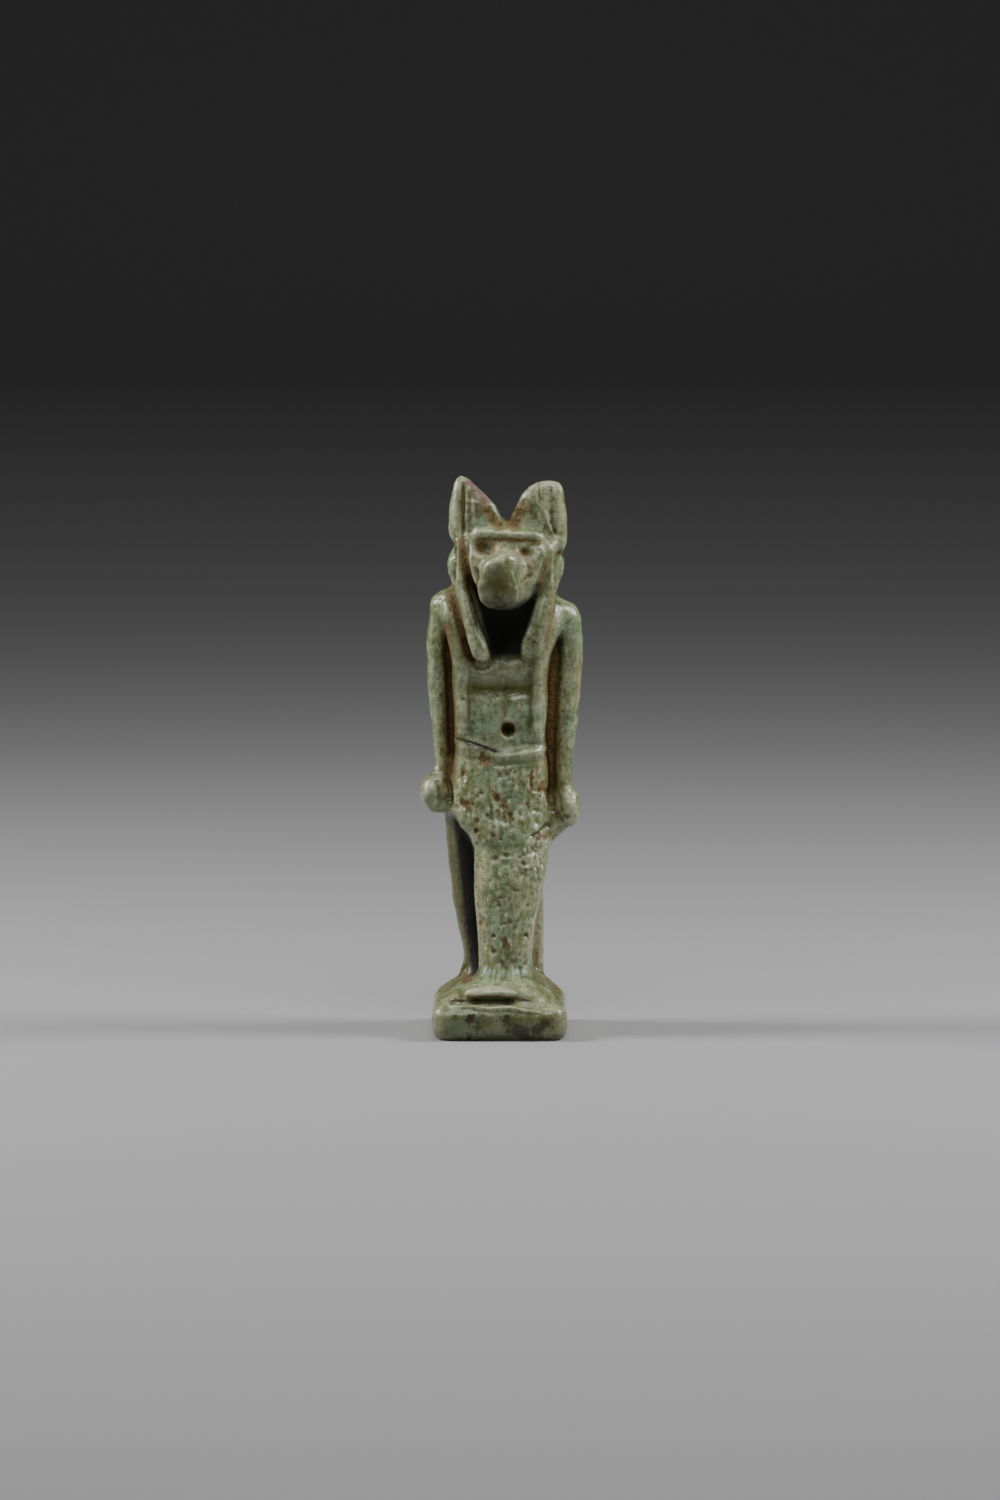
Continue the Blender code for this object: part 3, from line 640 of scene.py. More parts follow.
def small_pits(clay):
    """Pinholes and burst bubbles, most of them on the kilt and the front leg."""
    rng = np.random.default_rng(SEED)
    x, _, z = clay.co.T
    facing = clay.no[:, 1] < -0.2
    front = np.flatnonzero(facing & (z > OFF_THE_FLOOR))
    weight = np.where((z[front] > 2.5) & (z[front] < BELT), 1.0, 0.22)
    weight *= np.where(np.abs(x[front] - 0.6) < 3.6, 1.0, 0.3)
    chosen = rng.choice(front, 90, replace=False, p=weight / weight.sum())
    others = np.flatnonzero(~facing & (z > OFF_THE_FLOOR))
    chosen = np.concatenate((chosen, rng.choice(others, 110, replace=False)))
    seeds = clay.co[chosen].copy()
    sizes = 0.06 + 0.12 * rng.random(len(chosen)) ** 2
    tree = search_tree(clay.co)
    sink = np.zeros(clay.count)
    for centre, size in zip(seeds, sizes):
        for _, index, gap in tree.find_range(centre, 2.2 * size):
            sink[index] = min(sink[index], -0.75 * size * math.exp(-((gap / size) ** 2)))
    clay.push(sink)
    return seeds, sizes


def break_ear(clay):
    """The right ear's inner edge is a rough break down from its tip."""
    far, _ = clay.from_line([(-2.35, 41.0), (-1.75, 40.45), (-1.15, 39.95), (-0.9, 39.45)], (-3, 3))
    near = bell(far, 0, 0.42)
    rough = 0.6 + 0.5 * clay.cloud(0.5, 3.0) + 0.3 * clay.cloud(0.22, 4.0)
    clay.push(-0.16 * near * rough)


def thin_out(piece):
    """Fewer triangles where the surface is plain."""
    triangles = sum(len(p.vertices) - 2 for p in piece.data.polygons)
    thin = piece.modifiers.new("Thin", "DECIMATE")
    thin.ratio = MOST_TRIANGLES / triangles
    settle(piece)


def painted(clay, strokes):
    """The strongest of several soft lines and spots, each (strength, width, depth range, points...)."""
    mask = np.zeros(clay.count)
    y = clay.co[:, 1]
    for strength, width, depth, *points in strokes:
        if len(points) == 1:
            points.append((points[0][0] + 0.01, points[0][1]))
        nearest, farthest = depth[0] - SOFT_DEPTH, depth[1] + SOFT_DEPTH
        far, _ = clay.from_line(points, (nearest, farthest))
        inside = above(y, nearest, 2 * SOFT_DEPTH) * below(y, farthest, 2 * SOFT_DEPTH)
        mask = np.maximum(mask, strength * inside * bell(far, 0, width))
    return mask


def sprinkled(clay, clusters):
    """Uneven spots scattered about lines, each cluster (strength, spread, count, depth range, points...)."""
    rng = np.random.default_rng(SEED + 2)
    x, _, z = clay.co.T
    mask = np.zeros(clay.count)
    for strength, spread, count, depth, *points in clusters:
        points = np.array(points)
        fits = clay.front(depth)
        for _ in range(count):
            along = rng.random() * (len(points) - 1)
            first = int(along)
            centre = points[first] + (along - first) * (points[first + 1] - points[first])
            centre = centre + rng.normal(0, spread, 2)
            wide, tall = rng.uniform(0.12, 0.32), rng.uniform(0.14, 0.38)
            mask = np.maximum(mask, strength * bell(x, centre[0], wide) * bell(z, centre[1], tall) * fits)
    return mask


def stain_mask(clay):
    """Where brown soil stains the hollows, as in the photograph."""
    groove, face, ear, chest = (-0.6, 3), (-3.6, 0), (-3, 3), (-2, 2)
    cloth, shin, base = (-4, 1.5), (-6, 1), (-7.6, -4.4)
    mask = painted(clay, (
        (1, 0.6, groove, (-4, 29.3), (-3.86, 25), (-3.8, 21), (-3.95, 17)),
        (1, 0.62, groove, (4.15, 28), (4.15, 23.5), (4.12, 19.5), (4.2, 16.8)),
        (0.55, 0.4, groove, (4.6, 27), (4.6, 22), (4.7, 17.6)),
        (0.55, 0.54, (-2, 3), (-4.5, 17.2), (-4.35, 15.8)),
        (0.9, 0.43, (-2.4, 2), (-2.92, 36.3), (-2.8, 34.6), (-2.55, 33.4), (-2, 32.3)),
        (0.7, 0.31, (-2.4, 2), (3.75, 34.8), (3.45, 33.6), (2.95, 32)),
        (1, 0.6, (-1.9, 2), (-3.85, 32), (-3.4, 30.4)),
        (1, 0.31, (-1.9, 2), (-3.45, 30.6), (-3.05, 28.8), (-2.66, 27.3), (-2.1, 26.6)),
        (0.55, 0.6, chest, (4.3, 32.4), (4.05, 30.5), (3.7, 28.4)),
        (0.75, 0.24, face, (-1.7, 36.45), (0.2, 36.45), (1.6, 36.38), (3.1, 36.32)),
        (0.52, 0.15, ear, (-2.88, 40.9), (-2.86, 39), (-2.88, 36.4)),
        (0.5, 0.43, ear, (-3.2, 40), (-3.15, 37.4)),
        (0.5, 0.14, ear, (-2.36, 40.2), (-2.28, 37.4)),
        (0.75, 0.6, ear, (-1.3, 39), (-0.5, 37.9), (0, 37.5)),
        (0.55, 0.26, ear, (2.3, 40.2), (1.6, 39), (1.45, 38.3)),
        (0.85, 0.75, ear, (1.9, 39), (1.15, 37.7)),
        (0.5, 0.3, chest, (-1.6, 26.9), (-0.9, 26.6)),
        (0.5, 0.26, ear, (-1, 37.75), (0.6, 37.7), (2.2, 37.65)),
        (0.5, 0.26, cloth, (-2.9, 18.2), (-2.95, 17.4)),
        (0.6, 0.48, (-3, 2), (3.9, 16.5), (4.3, 15.4), (4.7, 14.4)),
        (0.8, 0.36, cloth, (3, 12.8), (3.9, 13)),
        (0.7, 0.24, base, (-3.9, 0.22), (-3.2, 0.4)),
        (0.5, 0.2, base, (-3.4, 0.06), (-1, -0.04)),
        (0.9, 0.4, (-4, 3), (-2.8, 1.5), (-2.2, 1.4)),
        (0.6, 0.19, base, (-2.8, 0.62), (0.4, 0.66), (2.6, 0.5)),
        (0.55, 0.42, base, (0.8, -1.2), (1.3, -2)),
        (0.55, 0.36, base, (2.4, -2), (3.4, -1.4)),
        (0.6, 0.3, base, (3.9, -1), (4.3, -1.9)),
        (0.5, 0.4, base, (-2.2, -1.1)),
        (0.55, 0.3, (-2, 6), (3, 3.4), (2.9, 2)),
        (0.95, 0.66, face, (-1.45, 35.95)), (0.85, 0.43, face, (1.95, 35.5)), (0.6, 0.34, face, (2.8, 36.1)),
        (0.4, 0.54, (-5, -1), (2.3, 32.8)), (0.95, 0.43, (-3, 1), (1.35, 37.9)),
        (0.7, 0.36, (-3, 1), (1, 37.6)), (1, 0.31, ear, (4.75, 35.3)),
        (1, 0.26, ear, (4.7, 31.9)), (0.9, 0.26, ear, (-3.5, 36.1)),
        (0.8, 0.3, ear, (-3.75, 32.5)), (0.5, 0.54, shin, (-0.2, 11.4)),
        (0.95, 0.24, shin, (-0.48, 5.15)), (0.9, 0.2, shin, (2.12, 5.15)), (0.7, 0.24, shin, (0.84, 6.3)),
        (0.6, 0.41, shin, (0.42, 4.75)), (0.85, 0.29, shin, (-0.42, 3.95)), (0.5, 0.29, shin, (-1.4, 6.2)),
        (1, 0.7, chest, (0.66, 21.35)), (1, 0.24, chest, (2.74, 28.35)),
        (0.42, 0.8, face, (-0.9, 35.2), (1.5, 35.2), (2.2, 34.2)),
        (0.6, 0.24, face, (1.7, 33.1), (2.6, 33.8)),
        (0.5, 0.24, chest, (0.36, 23.6), (0.42, 22.4)),
        (0.5, 0.12, chest, (-3.4, 20.62), (-1.42, 19.96), (0.1, 19.5)),
        (0.5, 0.26, (-1, 4), (6.15, 26.2), (6.05, 22.6)),
        (0.42, 0.45, (0, 3.2), (-3.7, 13.5), (-2.9, 6), (-2.5, 3)),
    ))
    mask = np.maximum(mask, sprinkled(clay, (
        (1, 0.26, 14, chest, (-1.45, 19.15), (-1.05, 18.95)),
        (0.7, 0.2, 5, chest, (-2.4, 19.5), (-1.9, 19.4)),
        (1, 0.26, 16, cloth, (-2.95, 15.6), (-2.5, 15.3)),
        (0.8, 0.12, 4, cloth, (-3.45, 15.2), (-3.4, 15)),
        (1, 0.2, 16, cloth, (-0.5, 16.3), (-0.1, 15.4), (0.95, 14.3)),
        (0.9, 0.07, 9, cloth, (2.55, 18.5), (2.52, 16.5)),
        (1, 0.16, 8, cloth, (3.2, 17), (3.35, 16)),
        (0.8, 0.12, 5, cloth, (2.9, 18.4), (3.1, 17.4)),
        (0.9, 0.12, 6, cloth, (-1.81, 13.45), (-1.75, 13.2)),
        (0.8, 0.12, 5, cloth, (-0.45, 13.15), (-0.5, 12.9)),
        (0.8, 0.08, 4, cloth, (-1.8, 14.3), (-1.8, 14.1)),
        (0.8, 0.1, 6, cloth, (-2.9, 18.1), (-2.9, 17.4)),
        (0.7, 0.16, 6, cloth, (1.9, 15.7), (2.4, 15)),
        (0.7, 0.14, 5, cloth, (-0.9, 17.2), (-0.8, 16.5)),
        (0.6, 0.3, 8, cloth, (0.4, 17.8), (1.8, 17)),
        (0.6, 0.3, 8, cloth, (-2, 16.6), (0.2, 12.9)),
        (0.6, 0.4, 8, cloth, (1.2, 14), (3, 13.4)),
        (0.8, 0.1, 6, shin, (-1.5, 6.9), (-1.4, 5.4)),
        (0.8, 0.18, 8, shin, (0.42, 4.9), (0.42, 4.1)),
        (0.9, 0.22, 40, groove, (4.55, 28), (4.62, 17.4)),
        (0.8, 0.14, 26, groove, (3.62, 28), (3.66, 18)),
        (0.8, 0.12, 26, groove, (-3.38, 29), (-3.32, 18)),
        (0.8, 0.14, 22, groove, (-4.5, 28), (-4.6, 18)),
        (0.8, 0.22, 12, ear, (-1.2, 38.9), (-0.3, 37.6)),
        (0.5, 0.4, 6, shin, (-0.6, 10.6), (1.6, 4.6)),
    )))
    x, y, z = clay.co.T
    mound = np.clip(1.5 - np.abs(z - 0.8), 0, 1) * above(np.abs(x), 1.8, 0.8)
    mound *= above(y, -4.2, 1.6) * below(y, PILLAR_BACK - 0.1, 0.4)
    mound *= np.clip(0.78 + 0.9 * clay.cloud(0.8, 17.0), 0.1, 1)
    return np.maximum(mask, 0.66 * mound)


def moss_and_shade_mask(clay):
    """Where the glaze is a dark, mossy green, partly its own colour and partly painted shade: beside the
    grooves, on the muzzle, across the waist, on the rear leg and on the plinth.
    """
    side, ear, chest, snout, base = (-1.6, 3), (-3, 3), (-2.2, 2), (-7, -2.4), (-8, -4)
    # Painted shade beside the grooves and lappets and along the belt's groove; the plinth's patches are also
    # its own mossy stains
    mask = painted(clay, (
        (0.9, 0.5, side, (-4.05, 29.6), (-3.95, 25), (-3.9, 21), (-4, 18.4)),
        (0.35, 0.6, side, (4.25, 28.8), (4.25, 23.5), (4.2, 19.5), (4.4, 15.4)),
        (0.7, 0.45, (-2.6, 2), (-3, 36.3), (-2.8, 34.6), (-2.5, 33.2), (-2, 31.8)),
        (0.6, 0.45, (-2.6, 2), (3.7, 35.4), (3.5, 34), (3.1, 32.2)),
        (0.6, 0.5, (-1.9, 2), (-3.7, 32), (-3.2, 29.6), (-2.66, 27.3), (-1.5, 26.4)),
        (1, 1, snout, (-0.3, 33.5), (0, 31.4)),
        (0.8, 0.9, snout, (0.5, 34.2), (0.5, 32)),
        (0.4, 0.45, chest, (-1.9, 25.1), (2, 25.1)),
        (1, 0.36, chest, (-3.2, 20.62), (-1.42, 20.06), (-0.3, 19.74)),
        (0.6, 0.4, chest, (2.7, 28.2)),
        (0.4, 0.5, ear, (-1.2, 38.4), (-0.4, 37.6)),
        (0.5, 0.5, ear, (1.4, 38.6), (1.3, 37.5)),
        (0.5, 0.6, (-4, 2), (4.2, 15), (3.4, 13.3)),
        (0.9, 0.26, base, (-3, 0.6), (0.4, 0.62), (2.2, 0.52)),
        (0.7, 0.5, base, (-2.15, -1.2), (-1.4, -1.5)),
        (0.9, 0.6, base, (0.7, -1.2), (1, -1.9), (1.9, -2.1)),
        (0.8, 0.5, base, (2.6, -2), (3.3, -1.7), (3.7, -1.2)),
        (0.5, 0.3, base, (-4.3, -1.7), (-3.6, -2.4), (2, -2.6), (4.4, -2.2)),
    ))
    x, y, z = clay.co.T
    # Painted shade on the rear leg, set back behind the front leg
    rear_leg = above(y, 0.2, 0.8) * below(y, 3.8, 1.2) * below(x, -1.2, 0.6)
    rear_leg *= below(z, 15.4, 1.2) * above(z, 0.8, 0.8) * below(clay.no[:, 1], 0.05, 0.35)
    # Painted shade on the plinth's front
    plinth_front = 0.62 * below(z, -0.3, 0.7) * below(y, -5.0, 1.0)
    # The muzzle's front: its own mossy olive, and painted shade where it faces forward and down
    rim = 34.35 + 0.36 * np.minimum(x + 1.45, 2.4)
    front = below(y, -4.4, 0.5) * below(z, rim, 0.7) * below(clay.no[:, 1], -0.3, 0.4)
    front *= (z > NECK) * np.clip(0.8 + 0.9 * clay.cloud(0.7, 13.0), 0, 1)
    # Painted shadow under the chest's overhang, with a sharp lower edge
    waist = bell(z, 24.5, 0.75) * above(z, 23.9 + 0.15 * clay.cloud(0.9, 15.0), 0.12)
    waist *= below(np.abs(x - 0.1), 2.7, 0.5) * (clay.no[:, 1] < -0.3) * (y < 1.2)
    return np.clip(np.maximum.reduce((mask, rear_leg, plinth_front, front, waist)), 0, 1)


def painted_shadow_mask(clay):
    """Painted shadow: black in the hollow under the muzzle, on the throat and in the deep gap behind the
    front leg.
    """
    x, y, z = clay.co.T
    left_side = -1.72 + 0.29 * (31.1 - z)
    right_side = 3.05 - 0.3 * (31.8 - z)
    under = above(x, left_side - 0.1, 0.25) * below(x, right_side + 0.05, 0.35)
    under *= above(y, -2.6, 0.7) * above(z, 26.7, 0.6) * (z < 33) * (y < 3)
    # Painted shade on the throat, where it faces down under the muzzle
    jaw = below(z, 32.4, 0.8) * below(clay.no[:, 2], -0.05, 0.5)
    jaw *= above(y, -6.0, 2.2) * (z > NECK) * (np.abs(x - 0.4) < 3) * (y < 1)
    # Painted shadow in the gap behind the front leg, leaving the rear leg's outer edge
    gap = above(x, 0.11 * (11 - z) - 3.52, 0.36) * below(x, 0.6, 0.3)
    gap *= above(y, -1.5, 1.0) * below(z, 14.9, 0.5) * above(z, 1.0, 0.3)
    outer_side = below(clay.no[:, 0], -0.35, 0.3) * above(y, 1.0, 0.6)
    gap *= (1 - outer_side) * below(y, 4.2, 0.3)
    return np.maximum.reduce((under, 0.8 * jaw, gap))


def soot_and_shade_mask(clay):
    """Broken, nearly black patches: soil and manganese on the plinth's front and in the leg's pits, and
    painted shade in small creases, the toe slot, the belt's groove, the navel, the fist's hollow, under the
    muzzle and along the rear leg.
    """
    base, chest, cloth, shin, snout = (-8, -4), (-2.4, 2), (-4, 1.5), (-6, 1), (-7, -2.4)
    return painted(clay, (
        (0.8, 0.6, base, (0.62, -1), (0.95, -1.5)),
        (1, 0.75, base, (1.2, -1.7), (1.6, -2), (2.2, -2.1)),
        (0.9, 0.6, base, (2.8, -2), (3.3, -1.6), (3.8, -1.2)),
        (0.7, 0.6, base, (-2.3, -1), (-1.7, -1.6)),
        (0.45, 0.5, base, (-3.6, -2.3), (0.4, -2.5), (4.4, -2.4)),
        # Painted shade in the slot under the toes
        (1, 0.2, base, (-2.3, 0.34), (-0.6, 0.36), (1.1, 0.34)),
        (0.5, 0.22, base, (1, 0.36), (2.3, 0.34)),
        (0.45, 0.16, base, (-3.8, 0.2), (-2.6, 0.34)),
        # Painted shadow along the belt's groove, in the navel, the lappet's dimple and across the waist
        (0.72, 0.18, chest, (-3.5, 20.6), (-2.34, 20.28)),
        (1.1, 0.24, chest, (-2.4, 20.28), (-1.42, 19.96), (-0.5, 19.62)),
        (0.35, 0.22, chest, (-0.2, 19.66), (0.8, 19.76), (1.8, 20)),
        (0.8, 0.22, chest, (0.68, 21.32)),
        (0.9, 0.2, chest, (2.74, 28.35)),
        (0.3, 0.5, chest, (-2, 24.3), (2.2, 24.3)),
        # Painted shade on the muzzle's lower part
        (0.34, 1.1, snout, (-0.4, 34), (0.1, 31.6)),
        (0.58, 0.8, snout, (-0.2, 32.1), (0.2, 31.2)),
        (0.45, 0.22, snout, (0.9, 32.6), (0.8, 31.8)),
        (0.42, 0.24, (-4, 0), (1.95, 35.5)),
        # Painted shade in the fist's hollow, the kilt's hem creases and along the rear leg
        (0.5, 0.4, cloth, (4.5, 14.6), (5, 14.1)),
        (0.5, 0.24, cloth, (2.6, 12.9), (3.6, 13.2)),
        (0.5, 0.3, cloth, (-0.4, 11.6), (0.4, 11.4)),
        (0.46, 0.5, (0, 3.2), (-3.9, 13.6), (-3.1, 6), (-2.8, 3)),
        (0.8, 0.16, shin, (-0.48, 5.15)),
        (0.7, 0.14, shin, (2.12, 5.15)),
        (0.7, 0.16, shin, (-0.42, 3.95)),
        (0.4, 0.26, cloth, (-2.2, 18.2), (-1.9, 14)),
        (0.35, 0.26, cloth, (1.2, 17.6), (1, 14)),
    ))


def tint_masks(clay):
    """Where the glaze is bluer, rosier, paler or duller, and where the soil is full of sand; the paler mask
    is partly a painted highlight.
    """
    trunk, cloth, shin, base, arm, ear, face = (-3, 2), (-4, 2), (-6, 1), (-8, -4), (-2, 3), (-3, 3), (-4, 0)
    blue = painted(clay, (
        (1, 0.9, trunk, (-1.5, 22.9), (-1.2, 21.6)),
        (0.7, 0.7, trunk, (1.6, 25.2)),
        (0.9, 1, cloth, (-0.6, 14.6), (0.6, 13)),
        (0.6, 1.3, cloth, (-1.4, 18), (1.6, 16), (2, 14)),
        (0.6, 0.6, cloth, (-1.4, 17.2), (-1, 15.8)),
        (0.8, 0.6, shin, (-0.4, 7), (-0.2, 4.6)),
        (0.7, 0.6, shin, (0.2, 10), (0, 8.6)),
        (0.9, 0.5, (-7, -1), (-0.8, 2), (1.4, 2.2)),
        (1, 0.9, base, (-3.4, -1.9)),
        (0.7, 0.5, base, (-1.4, -2.4), (0.6, -2.5)),
        (0.5, 0.5, arm, (-4.9, 25.6), (-4.8, 23.4)),
        (0.25, 0.6, arm, (5.2, 30), (5.3, 26)),
        (0.7, 0.4, ear, (-1.45, 38.6), (-1.4, 37.6)),
        (0.6, 0.4, ear, (2.4, 39)),
        (0.6, 0.5, arm, (-3.1, 31.4), (-2.6, 30.2)),
    ))
    rosy = painted(clay, (
        (1, 0.8, face, (-0.6, 35.7), (0.6, 36)),
        (0.9, 0.5, face, (-2.1, 35.1), (-1.9, 33.6)),
        (0.9, 0.7, face, (1.5, 35.4), (2.2, 35), (2.3, 34)),
        (0.8, 0.6, face, (-1.4, 35.4), (-0.6, 35)),
        (0.6, 0.36, shin, (-1.6, 11), (-1.5, 8), (-1.3, 5.4)),
        (0.6, 0.4, ear, (-2.5, 39.8), (-2.2, 38.2)),
        (0.9, 0.5, (1.5, 7), (3.15, 13.5), (3.15, 2.6)),
        (0.5, 0.6, ear, (3.9, 30), (3.6, 28.2)),
    ))
    # Paler glaze where it is worn; on the fists, an ear's outer rim and a lappet's edge it is also a painted
    # highlight
    pale = painted(clay, (
        (0.9, 0.9, (-5, 1), (2.8, 11.5), (2.7, 10.8)),
        (1, 0.7, arm, (-5.6, 16.6)),
        (0.7, 0.4, arm, (5.7, 15.5)),
        (1, 0.45, (-8, 3), (-5.1, -0.5), (-5.1, -2.1)),
        (1, 0.45, (-8, 3), (5.1, -0.5), (5.1, -2.1)),
        (0.3, 0.3, base, (-4.2, 0), (-2.4, -0.2), (2, -0.4), (4.4, -0.4)),
        (0.7, 0.4, (-8, -3), (-1.8, 1.15), (0.4, 1.15)),
        (0.6, 0.4, shin, (2.9, 9), (2.7, 3)),
        (0.9, 0.4, ear, (-3.4, 40.6), (-3.6, 37)),
        (0.5, 0.9, ear, (3.6, 40.2), (3.6, 38.4)),
        (0.6, 0.35, (-7, -2), (-1.3, 34.2), (0, 35.2), (0.9, 35.3)),
        (0.9, 0.3, (-4, 1), (-3.1, 33.4), (-2.2, 29.6), (-1.9, 28.6)),
    ))
    matte = painted(clay, (
        (1, 0.36, ear, (-2.4, 37.6), (0.6, 37.65), (3, 37.5)),
        (1, 0.5, (-2, 7), (3.1, 2.4), (3.5, 1.8)),
        (0.7, 0.9, ear, (-1.6, 38.6)),
        (0.8, 0.6, ear, (1.6, 38.4)),
        (0.9, 0.36, (-3, 1), (-2.6, 20.8), (-0.6, 20.1)),
        (0.6, 0.5, shin, (-1.2, 2.3), (2.8, 2.3)),
        (0.6, 0.3, (-2, 2), (-0.6, 26.45), (2.2, 26.4)),
        (0.7, 0.25, trunk, (-0.3, 19.7), (2.6, 20.2)),
        (0.8, 0.25, trunk, (-0.4, 18.6), (1.7, 18.8)),
        (0.8, 0.16, base, (-2.3, 0.08), (1.6, 0.08)),
    ))
    sandy = painted(clay, ((1.0, 0.7, (-1.5, 3), (4.2, 28.4), (4.25, 22.0), (4.3, 17.0)),))
    return {"blue": blue, "rosy": rosy, "pale": pale, "matte": matte, "sandy": sandy}


def pit_mask(clay, seeds, sizes):
    """Soil in the pinholes."""
    tree = search_tree(seeds)
    pits = np.zeros(clay.count)
    for k, p in enumerate(clay.co):
        _, index, gap = tree.find(p)
        pits[k] = math.exp(-((gap / (1.1 * sizes[index])) ** 2))
    return pits


def break_mask(clay):
    """The bare body in the break at the right ear's tip."""
    x, _, z = clay.co.T
    line = painted(clay, ((1.0, 0.55, (-4, 4), (-2.3, 40.9), (-1.15, 39.45)),))
    bare = np.clip(1.7 * (line + 0.7 * clay.cloud(0.45, 7.0)) - 0.35, 0, 1)
    return bare * (x > -2.75) * (x < 0) * (z > 38.8)


def masks(piece, seeds, sizes):
    """Write what the glaze's material reads: hollows, ridges, stains, painted shade and shadow, pits, tints
    and the break.
    """
    clay = Clay(piece.data)
    fine = clay.sinking(5)
    values = {
        # Fine and broad hollows drive painted shade; the fine ones also gather soil
        "hollow": np.clip(fine / FINE_HOLLOW, 0, 1),
        # Ridges, paler where worn and also as a painted highlight
        "ridge": np.clip(-fine / FINE_HOLLOW, 0, 1),
        "deep": np.clip(clay.sinking(60) / BROAD_HOLLOW, 0, 1),
        "stain": stain_mask(clay),
        # Mossy green, partly the glaze's own and partly painted shade
        "moss_and_shade": moss_and_shade_mask(clay),
        # Painted shadow under the muzzle and behind the front leg
        "dark": painted_shadow_mask(clay),
        # Nearly black soil patches, and painted shade in creases and slots
        "soot_and_shade": soot_and_shade_mask(clay),
        "pit": pit_mask(clay, seeds, sizes),
        "raw": break_mask(clay),
        **tint_masks(clay),
    }
    for name, value in values.items():
        layer = piece.data.attributes.new(name, "FLOAT", "POINT")
        layer.data.foreach_set("value", value.astype(np.float32))


# Colours of the glaze, of the body under it and of the soil, and of the painted shade, shadow and highlights
# Dark green of the mottle and streaks, and of painted shade in hollows
DARK_GREEN = (0.052, 0.058, 0.007, 1)
GREEN = (0.152, 0.194, 0.078, 1)
PALE_GREEN = (0.35, 0.398, 0.222, 1)
TURQUOISE = (0.165, 0.32, 0.225, 1)
OLIVE = (0.255, 0.24, 0.085, 1)
# Mossy green, partly the glaze's own and partly painted shade
MOSS_AND_SHADE_GREEN = (0.064, 0.062, 0.005, 1)
# Cream of grit flecks, and of ridges where it is partly a painted highlight
CREAM = (0.66, 0.65, 0.48, 1)
# Pale frost of worn glaze, also used as painted highlight
FROST_AND_HIGHLIGHT = (0.52, 0.54, 0.37, 1)
PINK = (0.385, 0.28, 0.165, 1)
ROSE = (0.19, 0.112, 0.088, 1)
BARE_BROWN = (0.12, 0.068, 0.036, 1)
SOIL_HAZE = (0.175, 0.105, 0.018, 1)
UMBER = (0.056, 0.033, 0.007, 1)
RUST = (0.165, 0.092, 0.018, 1)
OCHRE = (0.25, 0.15, 0.04, 1)
# Near black of soil patches and of painted shade
DARK_SOIL_AND_SHADE = (0.018, 0.011, 0.0005, 1)
# Painted shadow
SHADOW_BLACK = (0.003, 0.0025, 0.001, 1)


def patterns(g):
    """The noises and cells that the glaze's colour, roughness and bump share."""
    place = g.add("TexCoord").outputs["Object"]
    drift = g.add("TexNoise", Vector=place, Scale=1 / 0.0009, Detail=2.0).outputs["Color"]
    drift = g.vector("SUBTRACT", drift, (0.5, 0.5, 0.5))
    bent = g.vector("MULTIPLY_ADD", drift, (0.0006, 0.0006, 0.0006), place)
    drawn = g.vector("MULTIPLY", bent, (1.0, 1.0, 0.22))
    return SimpleNamespace(
        broad=g.noise(place, 0.0034, detail=2.0),
        middle=g.noise(place, 0.0011, detail=4.0, roughness=0.62),
        small=g.noise(place, 0.00042, detail=4.0, roughness=0.65),
        grit=g.noise(place, 0.00013, detail=2.0, roughness=0.6),
        streaks=g.noise(drawn, 0.00045, detail=2.0),
        veins=g.cells(bent, 0.00085, "DISTANCE_TO_EDGE"),
        grains=g.cells(place, 0.00012, "F1"),
        dots=g.cells(bent, 0.00052, "F1"),
    )


def glaze_colour(g, n):
    """Cloudy green and turquoise, with dark streaks and crackle, ridges paler from wear and from a painted
    highlight, painted shade in the hollows, and a mossy green that is partly painted shade.
    """
    colour = g.mix(g.ramp(n.middle, 0.34, 0.66), GREEN, PALE_GREEN)
    bluish = g.plus(g.times(g.mask("blue"), 0.85), g.times(g.ramp(n.broad, 0.5, 0.36), 0.35))
    for over, where, strength in (
        (OLIVE, g.ramp(n.broad, 0.5, 0.64), 0.32),
        (TURQUOISE, g.times(bluish, g.ramp(n.small, 0.34, 0.62), True), 0.8),
        (PINK, g.times(g.mask("rosy"), g.ramp(n.small, 0.3, 0.58)), 0.8),
        # Paler frosted glaze where worn, and painted highlight on rims and fists
        (FROST_AND_HIGHLIGHT, g.times(g.mask("pale"), g.ramp(n.small, 0.26, 0.54)), 0.72),
        (DARK_GREEN, g.ramp(n.small, 0.56, 0.36), 0.52),
        (DARK_GREEN, g.ramp(n.streaks, 0.5, 0.34), 0.42),
        (DARK_GREEN, g.times(g.ramp(n.veins, 0.1, 0.0), g.ramp(n.middle, 0.42, 0.6)), 0.22),
        (CREAM, g.ramp(n.grit, 0.58, 0.72), 0.28),
        # Raised ridges paler: worn glaze, and a painted highlight along the edges
        (CREAM, g.times(g.mask("ridge"), g.ramp(n.middle, 0.2, 0.7)), 0.65),
    ):
        colour = g.coat(colour, over, where, strength)

    # Painted shade: darker green in fine and broad hollows, less on the rosy face
    shade = g.plus(g.times(g.mask("hollow"), 0.75), g.times(g.mask("deep"), 0.85), True)
    shade = g.times(shade, g.maths("SUBTRACT", 0.8, g.times(g.mask("rosy"), 0.5)))
    colour = g.mix(shade, colour, DARK_GREEN)
    # Mossy green, partly the glaze's own colour and partly painted shade beside the grooves, on the muzzle,
    # the waist, the rear leg and the plinth
    return g.coat(colour, MOSS_AND_SHADE_GREEN, g.times(g.mask("moss_and_shade"), g.ramp(n.small, 0.08, 0.54)), 0.88)


def soil_grains(g, n):
    """The soil's colour, grain by grain: umber and rust with some ochre, and more of it where it is sandy."""
    chance = n.grains["random"]
    colour = g.mix(g.ramp(chance, 0.3, 0.9), UMBER, RUST)
    colour = g.mix(g.ramp(chance, 0.92, 0.96), colour, OCHRE)
    colour = g.coat(colour, OCHRE, g.ramp(n.middle, 0.52, 0.7), 0.4)
    return g.coat(colour, OCHRE, g.times(g.mask("sandy"), g.ramp(chance, 0.3, 0.6)), 0.85)


